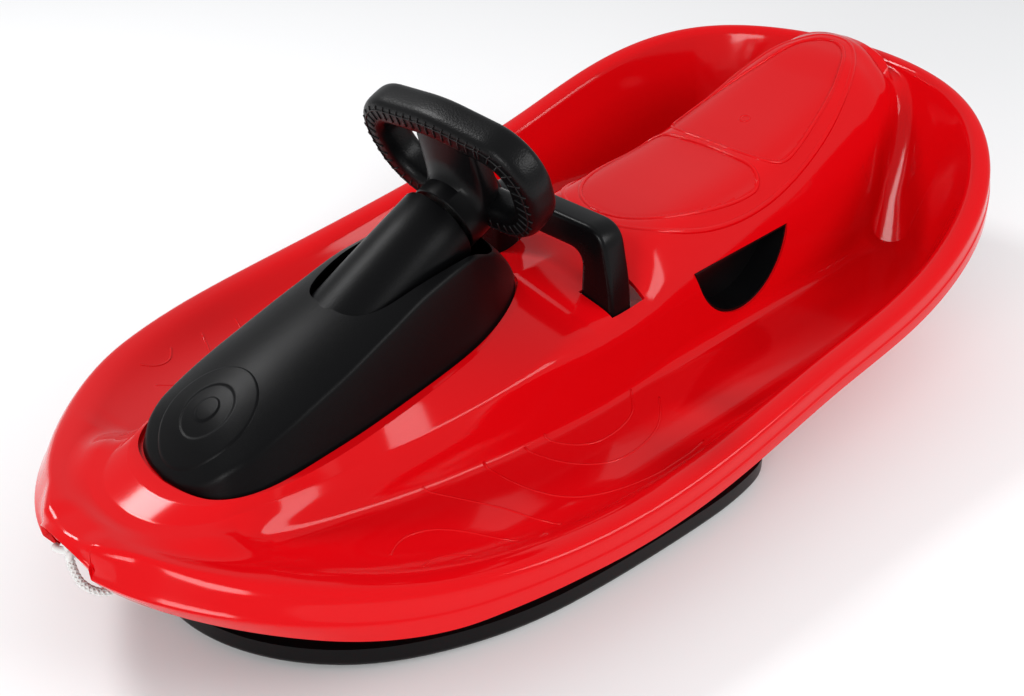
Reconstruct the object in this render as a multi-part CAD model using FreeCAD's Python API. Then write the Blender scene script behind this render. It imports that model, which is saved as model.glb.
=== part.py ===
import FreeCAD
import Part
import math
import os

# Steering sled, in millimetres. +X points to the nose, +Y to the rider's left, +Z up.
# The origin lies on the ground, under the middle of the hull.

V = FreeCAD.Vector

# Hull
HULL_LENGTH = 1040.0
HULL_WIDTH = 552.0
HULL_WALL = 4.0
RIM_NOSE_HEIGHT = 149.0
RIM_WAIST_HEIGHT = 119.0
RIM_TAIL_HEIGHT = 244.0
FLANGE_HEIGHT = 44.0
RIM_FILLET = 11.0
FLOOR_HEIGHT = 68.0
TUB_TOP_INSET = 12.0
TUB_FLOOR_INSET = 54.0
SPINE_HALF_WIDTH = 105.0
SEAT_HEIGHT = 193.0
NOTCH_HALF_WIDTH = 34.0
NOTCH_DEPTH = 28.0
NOTCH_TOP = 139.0
NOTCH_WALL_LOW = 108.0
KEEL_LENGTH = 250.0
KEEL_WIDTH = 16.0
KEEL_SPREAD = 300.0
KEEL_REAR_X = -410.0
KEEL_END_RADIUS = 34.0

# Cowl
COWL_FRONT_X = 430.0
COWL_REAR_X = 52.0
COWL_HALF_WIDTH = 70.0
COWL_FRONT_SEAT = 144.0
COWL_REAR_SEAT = 164.0
COWL_HEIGHT = 84.0
COWL_WALL = 3.0
COWL_HOLE_HALF_WIDTH = 44.0
COWL_HOLE_FRONT_X = 264.0
COWL_HOLE_REAR_X = 100.0
COWL_HOLE_RADIUS = 30.0
COWL_SCREW_FRONT_X = 330.0
COWL_SCREW_FRONT_Y = 54.0
COWL_SCREW_REAR_X = 84.0
COWL_SCREW_REAR_Y = 18.0
COWL_POST_RADIUS = 6.0
COWL_SLEEVE_GAP = 1.5
SEAT_GAP = 0.5

# Steering column
COLUMN_TILT = 24.0
COLUMN_TOP_X = 140.0
COLUMN_TOP_Z = 254.0
SLEEVE_LENGTH = 150.0
SLEEVE_TOP_RADIUS = 37.0
SLEEVE_LOW_RADIUS = 28.0
SLEEVE_BORE_RADIUS = 24.5
SLEEVE_FOOT_LENGTH = 74.0
SLEEVE_FOOT_WIDTH = 84.0
SLEEVE_FOOT_X = 228.0
SLEEVE_WEB = 40.0
PLATE_THICKNESS = 5.0
SHAFT_RADIUS = 8.0
SHAFT_TAIL = 18.0
BUSH_LENGTH = 18.0
BUSH_COLLAR = 3.0
BUSH_COLLAR_LIP = 2.0
RUNNING_FIT = 0.08
PRESS_GAP = 0.05
RING_WIDTH = 2.0
RING_LIP = 3.0
RING_OFFSET = 4.0
CRANK_THICKNESS = 7.0
CRANK_HUB_RADIUS = 14.0
CRANK_PIN_RADIUS = 5.0
CRANK_PIN_LENGTH = 34.0
WHEEL_TURN = 45.0
SKI_TURN = 10.0

# Steering wheel
WHEEL_HALF_WIDTH = 90.0
WHEEL_TOP = 86.0
WHEEL_BOTTOM = 8.0
WHEEL_FOOT_HALF_WIDTH = 81.0
WHEEL_TOP_RADIUS = 42.0
WHEEL_FOOT_RADIUS = 43.0
WHEEL_OFFSET = 42.5
GRIP_HALF_DEPTH = 18.0
GRIP_HALF_THICKNESS = 16.0
GRIP_SKIN = 2.5
COLLAR_RADIUS = 33.0
COLLAR_GAP = 2.0
BOSS_HALF_WIDTH = 30.0
BOSS_HALF_DEPTH = 11.0
HUB_DEPTH = 60.0
BOLT_RADIUS = 4.0
BOLT_HEAD_RADIUS = 7.5
BOLT_HEAD_HEIGHT = 5.5
BOLT_LENGTH = 30.0
HUB_CAP_RADIUS = 16.0
HUB_CAP_THICKNESS = 4.0

# Front ski and its pivot
SKI_FRONT_X = 440.0
SKI_REAR_X = -76.0
SKI_HALF_WIDTH = 236.0
SKI_THICKNESS = 20.0
SKI_LIFT = 6.0
SKI_EDGE_FILLET = 6.0
SKI_WALL = 5.0
SKI_KEEL_WIDTH = 12.0
SKI_KEEL_LENGTH = 300.0
SKI_KEEL_SPREAD = 210.0
SKI_KEEL_X = 150.0
KINGPIN_X = 372.0
KINGPIN_RADIUS = 6.0
KINGPIN_HEAD_RADIUS = 13.0
KINGPIN_HEAD_HEIGHT = 6.0
HOUSING_RADIUS = 22.0
HOUSING_FLANGE = 62.0
HOUSING_FLANGE_THICKNESS = 6.0
SKI_HUB_RADIUS = 30.0
SKI_HUB_HEIGHT = 12.0
SKI_BUSH_WALL = 3.0
THRUST_WASHER_THICKNESS = 3.0
THRUST_GAP = 0.3
NUT_RADIUS = 11.0
NUT_HEIGHT = 10.0
WASHER_THICKNESS = 2.0
WASHER_RADIUS = 13.0
TILLER_ARM = 70.0
TILLER_THICKNESS = 8.0
TILLER_FORK_WALL = 8.0
TILLER_FORK_GAP = 1.0
TILLER_TOP_Z = 174.0
TILLER_SLOT_DEPTH = 34.0
TILLER_SCREW_LENGTH = 22.0
TILLER_FOOT_WIDTH = 66.0
TILLER_FOOT_LENGTH = 46.0
TILLER_FOOT_THICKNESS = 7.0
WINDOW_MARGIN = 5.0

# Fasteners
SCREW_RADIUS = 2.5
SCREW_HEAD_RADIUS = 4.5
SCREW_HEAD_HEIGHT = 3.0
SCREW_LENGTH = 14.0
SCREW_FIT = 0.1

# Brake
BRAKE_X = 1.0
BRAKE_PIVOT_Z = 125.0
BRAKE_TURN = 18.0
BRAKE_DECK_Z = 167.0
BRAKE_DEPTH = 29.0
BRAKE_INNER_HALF = 53.0
BRAKE_TOP_HALF = 74.0
BRAKE_LEG_HALF = 92.0
BRAKE_TOP_Z = 227.0
BRAKE_BAR_HEIGHT = 27.0
BRAKE_FLARE_Z = 156.0
BRAKE_BEND_RADIUS = 24.0
BRAKE_SLOT_GAP = 1.5
AXLE_RADIUS = 5.0
AXLE_CAP_RADIUS = 9.0
AXLE_CAP_THICKNESS = 2.5
AXLE_STRUT_LENGTH = 34.0
AXLE_STRUT_WIDTH = 7.0
CLAW_THICKNESS = 5.0
CLAW_WIDTH = 15.0
CLAW_TAB = 18.0
CLAW_REACH = 186.0
CLAW_ELBOW_REACH = 172.0
CLAW_ELBOW_Z = 62.0
CLAW_TIP_Z = 24.0
CLAW_TOOTH = 9.0
RIVET_RADIUS = 2.0
RIVET_HEAD_RADIUS = 3.2
RIVET_HEAD_HEIGHT = 1.6
RIVET_LENGTH = 14.0
RIVET_SPACING = 7.5

# Hand-hold cups
CUP_X = -173.0
CUP_TOP_Z = 147.0
CUP_HALF_WIDTH = 75.0
CUP_DROP = 64.0
CUP_DEPTH = 26.0
CUP_WALL = 2.5

# Tow loop
CORD_RADIUS = 3.0
CORD_HOLE_RADIUS = 4.5
CORD_HOLE_Y = -3.2
CORD_HOLE_Z = 130.7
KNOT_RADIUS = 6.5
KNOT_CENTRE = V(511.0, 1.2, 124.6)
KNOT_TAIL_END = V(512.0, -25.0, 114.0)

# One overrun serves all cuts, and one reach serves all blocks that span the part.
OVERRUN = 5.0
REACH = 400.0

# Rim outline, half of it, as shares of half the length and half the width.
OUTLINE_SHARES = [
    (1.0, 0.0), (0.812, 0.625), (0.552, 0.89), (0.21, 0.99), (-0.156, 0.995),
    (-0.494, 1.0), (-0.71, 0.908), (-0.881, 0.647), (-1.0, 0.0),
]
# Height of the rim along the hull: share of half the length, share of the rise from the waist.
SHEER_NOSE_SHARES = [(1.12, 1.35), (1.0, 1.0), (0.812, 0.43), (0.552, 0.03), (0.21, 0.0)]
SHEER_TAIL_SHARES = [
    (-0.156, 0.136), (-0.494, 0.36), (-0.71, 0.688), (-0.881, 0.936), (-1.0, 1.0), (-1.12, 1.02),
]
# Height of the footwell floor: share of half the length, share of the rise from floor to nose.
FLOOR_SHARES = [
    (-1.12, 0.0), (-0.7, 0.0), (-0.4, 0.005), (0.0, 0.07), (0.29, 0.22), (0.48, 0.36), (0.65, 0.52),
    (0.77, 0.67), (0.83, 0.78), (0.92, 1.05), (1.12, 1.7),
]
# Sections of the spine: share of half the length, then shares of the spine's half width at its
# foot and shoulder, then shares of the seat height at the shoulder and the crown.
SPINE_SHARES = [
    (0.915, 0.19, 0.13, 0.653, 0.674), (0.865, 0.59, 0.476, 0.715, 0.736),
    (0.817, 0.762, 0.648, 0.756, 0.772), (0.721, 0.838, 0.762, 0.772, 0.788),
    (0.615, 0.857, 0.781, 0.782, 0.806), (0.41, 0.876, 0.762, 0.798, 0.837),
    (0.292, 0.886, 0.79, 0.788, 0.855), (0.198, 0.905, 0.838, 0.777, 0.87),
    (0.087, 0.962, 0.914, 0.762, 0.886), (0.0, 1.0, 0.952, 0.756, 0.865),
    (-0.058, 1.019, 0.962, 0.772, 0.876), (-0.119, 1.038, 0.952, 0.819, 0.969),
    (-0.269, 1.048, 0.933, 0.829, 1.0), (-0.442, 1.057, 0.924, 0.855, 1.031),
    (-0.577, 1.076, 0.914, 0.922, 1.119), (-0.75, 1.067, 0.876, 1.026, 1.233),
    (-0.846, 1.01, 0.8, 1.15, 1.368), (-0.923, 0.933, 0.686, 1.192, 1.368),
    (-0.977, 0.8, 0.533, 1.202, 1.295),
]
# Sections of the cowl: share of its length from the rear, share of its half width at the foot,
# then shares of its height at the crease and the crown.
COWL_SHARES = [
    (0.992, 0.34, 0.05, 0.07), (0.968, 0.67, 0.13, 0.18), (0.934, 0.857, 0.235, 0.32),
    (0.878, 0.985, 0.32, 0.475), (0.762, 1.03, 0.475, 0.655), (0.656, 1.02, 0.6, 0.79),
    (0.524, 0.97, 0.77, 0.95), (0.392, 0.9, 0.92, 1.09), (0.259, 0.79, 0.97, 1.11),
    (0.167, 0.63, 0.81, 0.95), (0.087, 0.43, 0.52, 0.63), (0.03, 0.22, 0.2, 0.26),
    (0.008, 0.09, 0.07, 0.1),
]
COWL_CREASE_SHARE = 0.86
# Ski outline, half of it, as shares of its length from the rear and of its half width.
SKI_OUTLINE_SHARES = [
    (1.0, 0.0), (0.983, 0.24), (0.935, 0.45), (0.854, 0.645), (0.748, 0.79), (0.622, 0.895),
    (0.466, 0.957), (0.278, 0.996), (0.114, 0.998), (0.043, 0.95), (0.007, 0.8), (0.0, 0.5), (0.0, 0.0),
]
CRANK_WEB_SHARE = 0.8
WHEEL_ARCH_SHARE = 0.12
CORD_BLEND_SHARE = 0.45
# Points of the tow loop, chosen by hand, from its knot down over the notch, under the back wall and
# up behind it to the hole.
CORD_ROUTE = [
    V(514.6, 2.0, 119.6), V(515.6, 6.0, 106.5), V(510.8, 12.0, 94.6), V(500.6, 16.8, 86.6),
    V(488.0, 17.6, 83.8), V(476.4, 14.0, 87.4), V(468.9, 7.4, 96.6), V(467.2, 0.2, 108.6),
    V(471.8, -4.2, 120.2), V(481.6, -4.8, 128.4), V(494.2, -2.6, 131.8), V(506.4, 0.6, 129.2),
]

half_length = HULL_LENGTH / 2
half_width = HULL_WIDTH / 2
tilt = math.radians(COLUMN_TILT)
column_top = V(COLUMN_TOP_X, 0, COLUMN_TOP_Z)
column_place = FreeCAD.Placement(column_top, FreeCAD.Rotation(V(0, 1, 0), COLUMN_TILT - 90))
crank_radius = TILLER_ARM * math.sin(math.radians(SKI_TURN)) / math.sin(math.radians(WHEEL_TURN))
ski_bottom = SKI_LIFT
ski_top = SKI_LIFT + SKI_THICKNESS
hub_top = ski_top + SKI_HUB_HEIGHT
fork_x = KINGPIN_X - TILLER_ARM
cup_inner_y = SPINE_HALF_WIDTH - HULL_WALL - CUP_DEPTH
parts = {}


def mirrored_outline(points):
    """Closed smooth wire through half an outline and its mirror image."""
    back = [V(p.x, -p.y, p.z) for p in reversed(points[1:-1])]
    curve = Part.BSplineCurve()
    curve.interpolate(points + back, PeriodicFlag=True)
    return Part.Wire([curve.toShape()])


def polygon(points):
    """Closed wire of straight edges."""
    return Part.makePolygon(points + [points[0]])


def prism(wire, direction):
    """Solid made by moving a flat wire along a direction."""
    return Part.Face(wire).extrude(direction)


def box(x0, x1, y0, y1, z0, z1):
    """Solid box between two corners."""
    return Part.makeBox(x1 - x0, y1 - y0, z1 - z0, V(x0, y0, z0))


def rod(radius, length, base, direction=V(0, 0, 1)):
    """Solid cylinder from a base point."""
    return Part.makeCylinder(radius, length, base, direction)


def tube(outer, inner, length, base, direction=V(0, 0, 1)):
    """Hollow cylinder."""
    return rod(outer, length, base, direction).cut(rod(inner, length, base, direction))


def block_under(profile, drop=0):
    """Solid across the whole part under a smooth profile of (x, z) points."""
    curve = Part.BSplineCurve()
    curve.interpolate([V(x, -REACH, z - drop) for x, z in profile])
    start = curve.StartPoint
    end = curve.EndPoint
    low_end = V(end.x, -REACH, -REACH)
    low_start = V(start.x, -REACH, -REACH)
    sides = Part.makePolygon([end, low_end, low_start, start])
    return prism(Part.Wire([curve.toShape()] + sides.Edges), V(0, 2 * REACH, 0))


def sheer_profile():
    """Height of the rim along the hull."""
    nose = [(x * half_length, RIM_WAIST_HEIGHT + z * (RIM_NOSE_HEIGHT - RIM_WAIST_HEIGHT))
            for x, z in SHEER_NOSE_SHARES]
    tail = [(x * half_length, RIM_WAIST_HEIGHT + z * (RIM_TAIL_HEIGHT - RIM_WAIST_HEIGHT))
            for x, z in SHEER_TAIL_SHARES]
    return nose + tail


def floor_profile():
    """Height of the footwell floor along the hull."""
    rise = RIM_NOSE_HEIGHT - FLOOR_HEIGHT
    return [(x * half_length, FLOOR_HEIGHT + z * rise) for x, z in FLOOR_SHARES]


def rim_outline(inset, height):
    """Plan outline of the rim, moved inwards."""
    return mirrored_outline([V(x * (half_length - inset), y * (half_width - inset), height)
                             for x, y in OUTLINE_SHARES])


def tub(grow):
    """Space of both footwells in one, with drafted walls, grown by a wall thickness."""
    low = rim_outline(TUB_FLOOR_INSET - grow, FLOOR_HEIGHT)
    high = rim_outline(TUB_TOP_INSET - grow, RIM_TAIL_HEIGHT)
    slope = (TUB_FLOOR_INSET - TUB_TOP_INSET) / (RIM_TAIL_HEIGHT - FLOOR_HEIGHT)
    spare = FLOOR_HEIGHT / 2
    bottom = rim_outline(TUB_FLOOR_INSET + slope * spare - grow, FLOOR_HEIGHT - spare)
    top = rim_outline(TUB_TOP_INSET - slope * spare - grow, RIM_TAIL_HEIGHT + spare)
    walls = Part.makeLoft([bottom, low, high, top], True, True)
    return walls.cut(block_under(floor_profile(), grow))


def spine_section(row, inset, foot_z):
    """One cross-section of the tunnel and seat."""
    x_share, foot, shoulder, shoulder_z, crown_z = row
    front = SPINE_SHARES[0][0] * half_length - 2 * inset
    rear = SPINE_SHARES[-1][0] * half_length + 2 * inset
    x = max(rear, min(front, x_share * half_length))
    foot_y = foot * SPINE_HALF_WIDTH - inset
    side_y = shoulder * SPINE_HALF_WIDTH - inset
    side_z = shoulder_z * SEAT_HEIGHT - inset
    top = V(x, 0, crown_z * SEAT_HEIGHT - inset)
    left = V(x, side_y, side_z)
    right = V(x, -side_y, side_z)
    crown = Part.Arc(left, top, right).toShape()
    foot_line = Part.makePolygon([right, V(x, -foot_y, foot_z), V(x, foot_y, foot_z), left])
    return Part.Wire([crown] + foot_line.Edges)


def spine(inset, foot_z):
    """Tunnel and seat as one solid, moved inwards by a wall thickness."""
    return Part.makeLoft([spine_section(row, inset, foot_z) for row in SPINE_SHARES], True, False)


def seat_height(x):
    """Height of the cowl's sloping seat."""
    share = (x - COWL_REAR_X) / (COWL_FRONT_X - COWL_REAR_X)
    return COWL_REAR_SEAT + share * (COWL_FRONT_SEAT - COWL_REAR_SEAT)


def cowl_outline(grow, height):
    """Plan outline of the cowl, grown outwards."""
    length = COWL_FRONT_X - COWL_REAR_X + 2 * grow
    points = [V(COWL_FRONT_X + grow, 0, height)]
    for share, foot, crease, crown in COWL_SHARES:
        points.append(V(COWL_REAR_X - grow + share * length, foot * (COWL_HALF_WIDTH + grow), height))
    points.append(V(COWL_REAR_X - grow, 0, height))
    return mirrored_outline(points)


def above_seat(drop):
    """Solid above the plane of the cowl's seat."""
    front = COWL_FRONT_X + COWL_HALF_WIDTH
    rear = COWL_REAR_X - COWL_HALF_WIDTH
    points = [V(front, -REACH, seat_height(front) - drop), V(rear, -REACH, seat_height(rear) - drop),
              V(rear, -REACH, REACH), V(front, -REACH, REACH)]
    return prism(polygon(points), V(0, 2 * REACH, 0))


def cowl_pan(grow, drop):
    """Recess under the cowl, grown by a wall and lowered."""
    return prism(cowl_outline(grow, 0), V(0, 0, REACH)).common(above_seat(drop))


def brake_slot(side):
    """Slot in the tunnel's shoulder for one leg of the brake lever."""
    swing = (BRAKE_DECK_Z - BRAKE_PIVOT_Z) * math.tan(math.radians(BRAKE_TURN))
    front = BRAKE_X + BRAKE_DEPTH / 2 + BRAKE_SLOT_GAP
    rear = BRAKE_X - BRAKE_DEPTH / 2 - BRAKE_SLOT_GAP - swing
    inner = BRAKE_INNER_HALF - BRAKE_SLOT_GAP
    outer = BRAKE_LEG_HALF + BRAKE_SLOT_GAP
    y0, y1 = sorted((side * inner, side * outer))
    return box(rear, front, y0, y1, BRAKE_PIVOT_Z, BRAKE_TOP_Z)


def cup_outline(grow, y):
    """D-shaped outline of a hand-hold in the plane across Y."""
    left = V(CUP_X - CUP_HALF_WIDTH - grow, y, CUP_TOP_Z + grow)
    right = V(CUP_X + CUP_HALF_WIDTH + grow, y, CUP_TOP_Z + grow)
    lowest = V(CUP_X, y, CUP_TOP_Z - CUP_DROP - grow)
    bow = Part.Arc(right, lowest, left).toShape()
    return Part.Wire([Part.makeLine(left, right), bow])


def rear_keels():
    """Two solid keels under the rear of the hull, with rounded ends."""
    keels = []
    for side in (-1, 1):
        y = side * KEEL_SPREAD / 2 - KEEL_WIDTH / 2
        top = FLOOR_HEIGHT - HULL_WALL / 4
        keel = box(KEEL_REAR_X, KEEL_REAR_X + KEEL_LENGTH, y, y + KEEL_WIDTH, 0, top)
        ends = [edge for edge in keel.Edges
                if edge.BoundBox.ZMax < KEEL_WIDTH and edge.BoundBox.YLength > edge.BoundBox.XLength]
        keels.append(keel.makeFillet(KEEL_END_RADIUS, ends))
    return keels


def screw(base, direction, length=SCREW_LENGTH):
    """Pan-head screw whose head sits at base and whose shank points along direction."""
    head = rod(SCREW_HEAD_RADIUS, SCREW_HEAD_HEIGHT, base, direction * -1)
    return head.fuse(rod(SCREW_RADIUS, length, base, direction)).removeSplitter()


def screw_hole(base, direction, length=SCREW_LENGTH):
    """Hole for a screw's shank."""
    start = base - direction * OVERRUN
    return rod(SCREW_RADIUS + SCREW_FIT, length + 2 * OVERRUN, start, direction)


def sleeve_screw_places():
    """Where the screws of the sleeve's foot sit, under the deck."""
    places = []
    for sx in (-1, 1):
        for sy in (-1, 1):
            x = SLEEVE_FOOT_X + sx * (SLEEVE_FOOT_LENGTH / 2 - 2 * SCREW_HEAD_RADIUS)
            y = sy * (SLEEVE_FOOT_WIDTH / 2 - 2 * SCREW_HEAD_RADIUS)
            places.append(V(x, y, deck_bottom(x + SCREW_HEAD_RADIUS)))
    return places


def housing_screw_places():
    """Where the screws of the kingpin housing sit, under its flange."""
    places = []
    reach = HOUSING_FLANGE / 2 - 2 * SCREW_HEAD_RADIUS
    for sy in (-1, 1):
        y = sy * (reach + SCREW_HEAD_RADIUS)
        places.append(V(KINGPIN_X, y, housing_top() - HOUSING_FLANGE_THICKNESS))
    return places


def deck_bottom(x):
    """Height of the underside of the deck below the cowl."""
    return seat_height(x) - HULL_WALL


def housing_top():
    """Flat top of the kingpin housing, against the deck."""
    return deck_bottom(KINGPIN_X + HOUSING_FLANGE / 2)


def make_hull():
    """Red hull: rim, footwells, tunnel, seat and keels, with all its openings."""
    sheer = sheer_profile()
    rim = prism(rim_outline(0, 0), V(0, 0, REACH)).common(block_under(sheer))
    crest = [edge for edge in rim.Edges
             if edge.BoundBox.ZMin > FLOOR_HEIGHT and edge.BoundBox.XLength > half_width]
    rim = rim.makeFillet(RIM_FILLET, crest)
    rim = rim.cut(block_under(sheer, FLANGE_HEIGHT))
    full_tub = tub(HULL_WALL)
    outer_tub = full_tub.common(block_under(sheer, HULL_WALL / 2))
    hollow = prism(rim_outline(HULL_WALL, 0), V(0, 0, REACH)).common(block_under(sheer, HULL_WALL))
    body = rim.cut(hollow.cut(outer_tub)).fuse(outer_tub).cut(tub(0))
    outer_spine = spine(0, FLOOR_HEIGHT - HULL_WALL).cut(block_under(sheer, HULL_WALL).cut(full_tub))
    body = body.fuse(outer_spine).cut(spine(HULL_WALL, 0))
    body = body.fuse(cowl_pan(HULL_WALL + SEAT_GAP, HULL_WALL).common(outer_spine))
    body = body.cut(cowl_pan(SEAT_GAP, 0))
    body = body.fuse(rear_keels() + axle_struts() + [notch_wall()])
    body = body.cut(hull_openings())
    return body.removeSplitter()


def hull_openings():
    """Every slot, window and hole cut through the hull."""
    cuts = [notch(), cord_hole(), tiller_window(), axle_bore()]
    cuts.append(rod(KINGPIN_RADIUS + SCREW_FIT, REACH, V(KINGPIN_X, 0, 0)))
    for side in (-1, 1):
        cuts.append(brake_slot(side))
        cuts.append(cup_block(side, PRESS_GAP, cup_inner_y))
    for place in sleeve_screw_places() + housing_screw_places() + cowl_screw_places():
        cuts.append(screw_hole(place, V(0, 0, 1)))
    return cuts


def notch():
    """Recess in the nose flange for the tow loop, an inverted U."""
    x = half_length - NOTCH_DEPTH
    half = NOTCH_HALF_WIDTH
    spring = NOTCH_TOP - half / 2
    arch = Part.Arc(V(x, half, spring), V(x, 0, NOTCH_TOP), V(x, -half, spring)).toShape()
    legs = Part.makePolygon([V(x, -half, spring), V(x, -half, 0), V(x, half, 0), V(x, half, spring)])
    return prism(Part.Wire([arch] + legs.Edges), V(2 * NOTCH_DEPTH, 0, 0))


def notch_wall():
    """Back wall of the nose recess, hanging from the deck."""
    front = half_length - NOTCH_DEPTH
    half = NOTCH_HALF_WIDTH + HULL_WALL
    plate = box(front - HULL_WALL, front, -half, half, NOTCH_WALL_LOW, RIM_NOSE_HEIGHT)
    return plate.common(block_under(sheer_profile(), HULL_WALL / 2))


def cord_hole():
    """Hole of the tow loop in the back wall of the nose recess."""
    start = V(half_length - NOTCH_DEPTH - 2 * HULL_WALL, CORD_HOLE_Y, CORD_HOLE_Z)
    return rod(CORD_HOLE_RADIUS, 3 * HULL_WALL, start, V(1, 0, 0))


def tiller_window():
    """Window in the deck through which the tiller's fork swings."""
    swing = TILLER_ARM * math.sin(math.radians(SKI_TURN)) + tiller_half_width() + WINDOW_MARGIN
    half = TILLER_THICKNESS / 2 + 2 * WINDOW_MARGIN
    low = deck_bottom(fork_x + half) - OVERRUN
    return box(fork_x - half, fork_x + half, -swing, swing, low, COWL_REAR_SEAT + OVERRUN)


def axle_struts():
    """Webs inside the tunnel that carry the brake axle."""
    struts = []
    for side in (-1, 1):
        y0, y1 = sorted((side * (BRAKE_INNER_HALF - BRAKE_SLOT_GAP), side * axle_strut_inner()))
        low = BRAKE_PIVOT_Z - 2 * AXLE_RADIUS
        web = box(BRAKE_X - AXLE_STRUT_LENGTH / 2, BRAKE_X + AXLE_STRUT_LENGTH / 2, y0, y1, low, SEAT_HEIGHT)
        struts.append(web.common(spine(HULL_WALL / 2, FLOOR_HEIGHT)))
    return struts


def axle_strut_inner():
    """Distance of a strut's inner face from the middle."""
    return BRAKE_INNER_HALF - BRAKE_SLOT_GAP - AXLE_STRUT_WIDTH


def axle_bore():
    """Bore for the brake axle through both struts."""
    reach = BRAKE_LEG_HALF
    return rod(AXLE_RADIUS + PRESS_GAP, 2 * reach, V(BRAKE_X, -reach, BRAKE_PIVOT_Z), V(0, 1, 0))


def cowl_section(row, inset, drop):
    """One cross-section of the cowl."""
    share, foot, crease, crown = row
    x = COWL_REAR_X + inset + share * (COWL_FRONT_X - COWL_REAR_X - 2 * inset)
    low = seat_height(x)
    foot_y = foot * (COWL_HALF_WIDTH - inset)
    crease_y = foot_y * COWL_CREASE_SHARE
    crease_z = low + crease * COWL_HEIGHT - inset
    left = V(x, crease_y, crease_z)
    right = V(x, -crease_y, crease_z)
    crown_arc = Part.Arc(left, V(x, 0, low + crown * COWL_HEIGHT - inset), right).toShape()
    foot_line = Part.makePolygon([right, V(x, -foot_y, low - drop), V(x, foot_y, low - drop), left])
    return Part.Wire([crown_arc] + foot_line.Edges)


def cowl_mass(inset, drop):
    """Outer or inner form of the cowl."""
    rows = COWL_SHARES if inset == 0 else COWL_SHARES[1:-2]
    return Part.makeLoft([cowl_section(row, inset, drop) for row in rows], True, False)


def cowl_screw_places():
    """Where the cowl's screws sit, under the deck."""
    places = []
    for x, y in ((COWL_SCREW_FRONT_X, COWL_SCREW_FRONT_Y), (COWL_SCREW_REAR_X, COWL_SCREW_REAR_Y)):
        for side in (-1, 1):
            places.append(V(x, side * y, deck_bottom(x + SCREW_HEAD_RADIUS)))
    return places


def make_cowl():
    """Black teardrop cover with its column opening and four screw posts."""
    cowl = cowl_mass(0, 0).cut(cowl_mass(COWL_WALL, OVERRUN))
    half = COWL_HOLE_HALF_WIDTH
    corners = [V(COWL_HOLE_FRONT_X, half, 0), V(COWL_HOLE_REAR_X, half, 0), V(COWL_HOLE_REAR_X, -half, 0),
               V(COWL_HOLE_FRONT_X, -half, 0)]
    mouth = rounded_loop(corners, [COWL_HOLE_RADIUS] * len(corners))
    mouth.translate(V(0, 0, COWL_REAR_SEAT + SLEEVE_LOW_RADIUS / 2))
    cowl = cowl.cut(prism(mouth, V(0, 0, REACH)))
    posts = []
    for place in cowl_screw_places():
        base = V(place.x, place.y, seat_height(place.x) + SEAT_GAP)
        post = rod(COWL_POST_RADIUS, COWL_HEIGHT, base)
        posts.append(post.common(cowl_mass(COWL_WALL / 2, 0)))
    cowl = cowl.fuse(posts)
    cowl = cowl.cut([sleeve_cone(COWL_SLEEVE_GAP, OVERRUN)])
    cowl = cowl.cut([screw_hole(place, V(0, 0, 1)) for place in cowl_screw_places()])
    return largest(cowl)


def largest(shape):
    """Largest solid of a shape."""
    return max(shape.Solids, key=lambda solid: solid.Volume)


def column_shape(shape):
    """Move a shape from the column's own axes to its place: x up the wheel, y left, z to the rider."""
    moved = shape.copy()
    moved.Placement = column_place.multiply(moved.Placement)
    return moved


def column_rod(radius, low, high):
    """Cylinder on the column axis between two distances from the sleeve's top."""
    return column_shape(rod(radius, high - low, V(0, 0, low)))


def column_tube(outer, inner, low, high):
    """Hollow cylinder on the column axis."""
    return column_shape(tube(outer, inner, high - low, V(0, 0, low)))


def sleeve_cone(grow, past):
    """Tapered outer form of the sleeve, grown all round and run on past its lower end."""
    taper = (SLEEVE_TOP_RADIUS - SLEEVE_LOW_RADIUS) / SLEEVE_LENGTH
    low = SLEEVE_LOW_RADIUS + grow - past * taper
    cone = Part.makeCone(low, SLEEVE_TOP_RADIUS + grow, SLEEVE_LENGTH + past, V(0, 0, -SLEEVE_LENGTH - past))
    return column_shape(cone)


def make_sleeve():
    """Fixed sleeve with its foot on the deck."""
    half_foot = SLEEVE_FOOT_LENGTH / 2
    x0 = SLEEVE_FOOT_X - half_foot
    x1 = SLEEVE_FOOT_X + half_foot
    foot_points = [V(x0, 0, seat_height(x0)), V(x1, 0, seat_height(x1)),
                   V(x1, 0, seat_height(x1) + PLATE_THICKNESS), V(x0, 0, seat_height(x0) + PLATE_THICKNESS)]
    foot = prism(polygon(foot_points), V(0, SLEEVE_FOOT_WIDTH, 0))
    foot.translate(V(0, -SLEEVE_FOOT_WIDTH / 2, 0))
    rise = COLUMN_TOP_Z - COWL_REAR_SEAT
    web = box(x0, x1, -SLEEVE_WEB / 2, SLEEVE_WEB / 2, seat_height(x0), seat_height(x0) + rise)
    axis_height = [V(x, -SLEEVE_WEB, column_height(x)) for x in (x0 - rise, x1 + rise)]
    under = prism(polygon(axis_height + [V(x1 + rise, -SLEEVE_WEB, 0), V(x0 - rise, -SLEEVE_WEB, 0)]),
                  V(0, 2 * SLEEVE_WEB, 0))
    body = sleeve_cone(0, 0).fuse([foot, web.common(under)])
    bore = column_rod(SLEEVE_BORE_RADIUS, -SLEEVE_LENGTH - OVERRUN, OVERRUN)
    holes = [screw_hole(place, V(0, 0, 1)) for place in sleeve_screw_places()]
    return body.cut([bore] + holes).removeSplitter()


def column_height(x):
    """Height of the column axis at a place along the hull."""
    return COLUMN_TOP_Z - (x - COLUMN_TOP_X) * math.tan(tilt)


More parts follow.
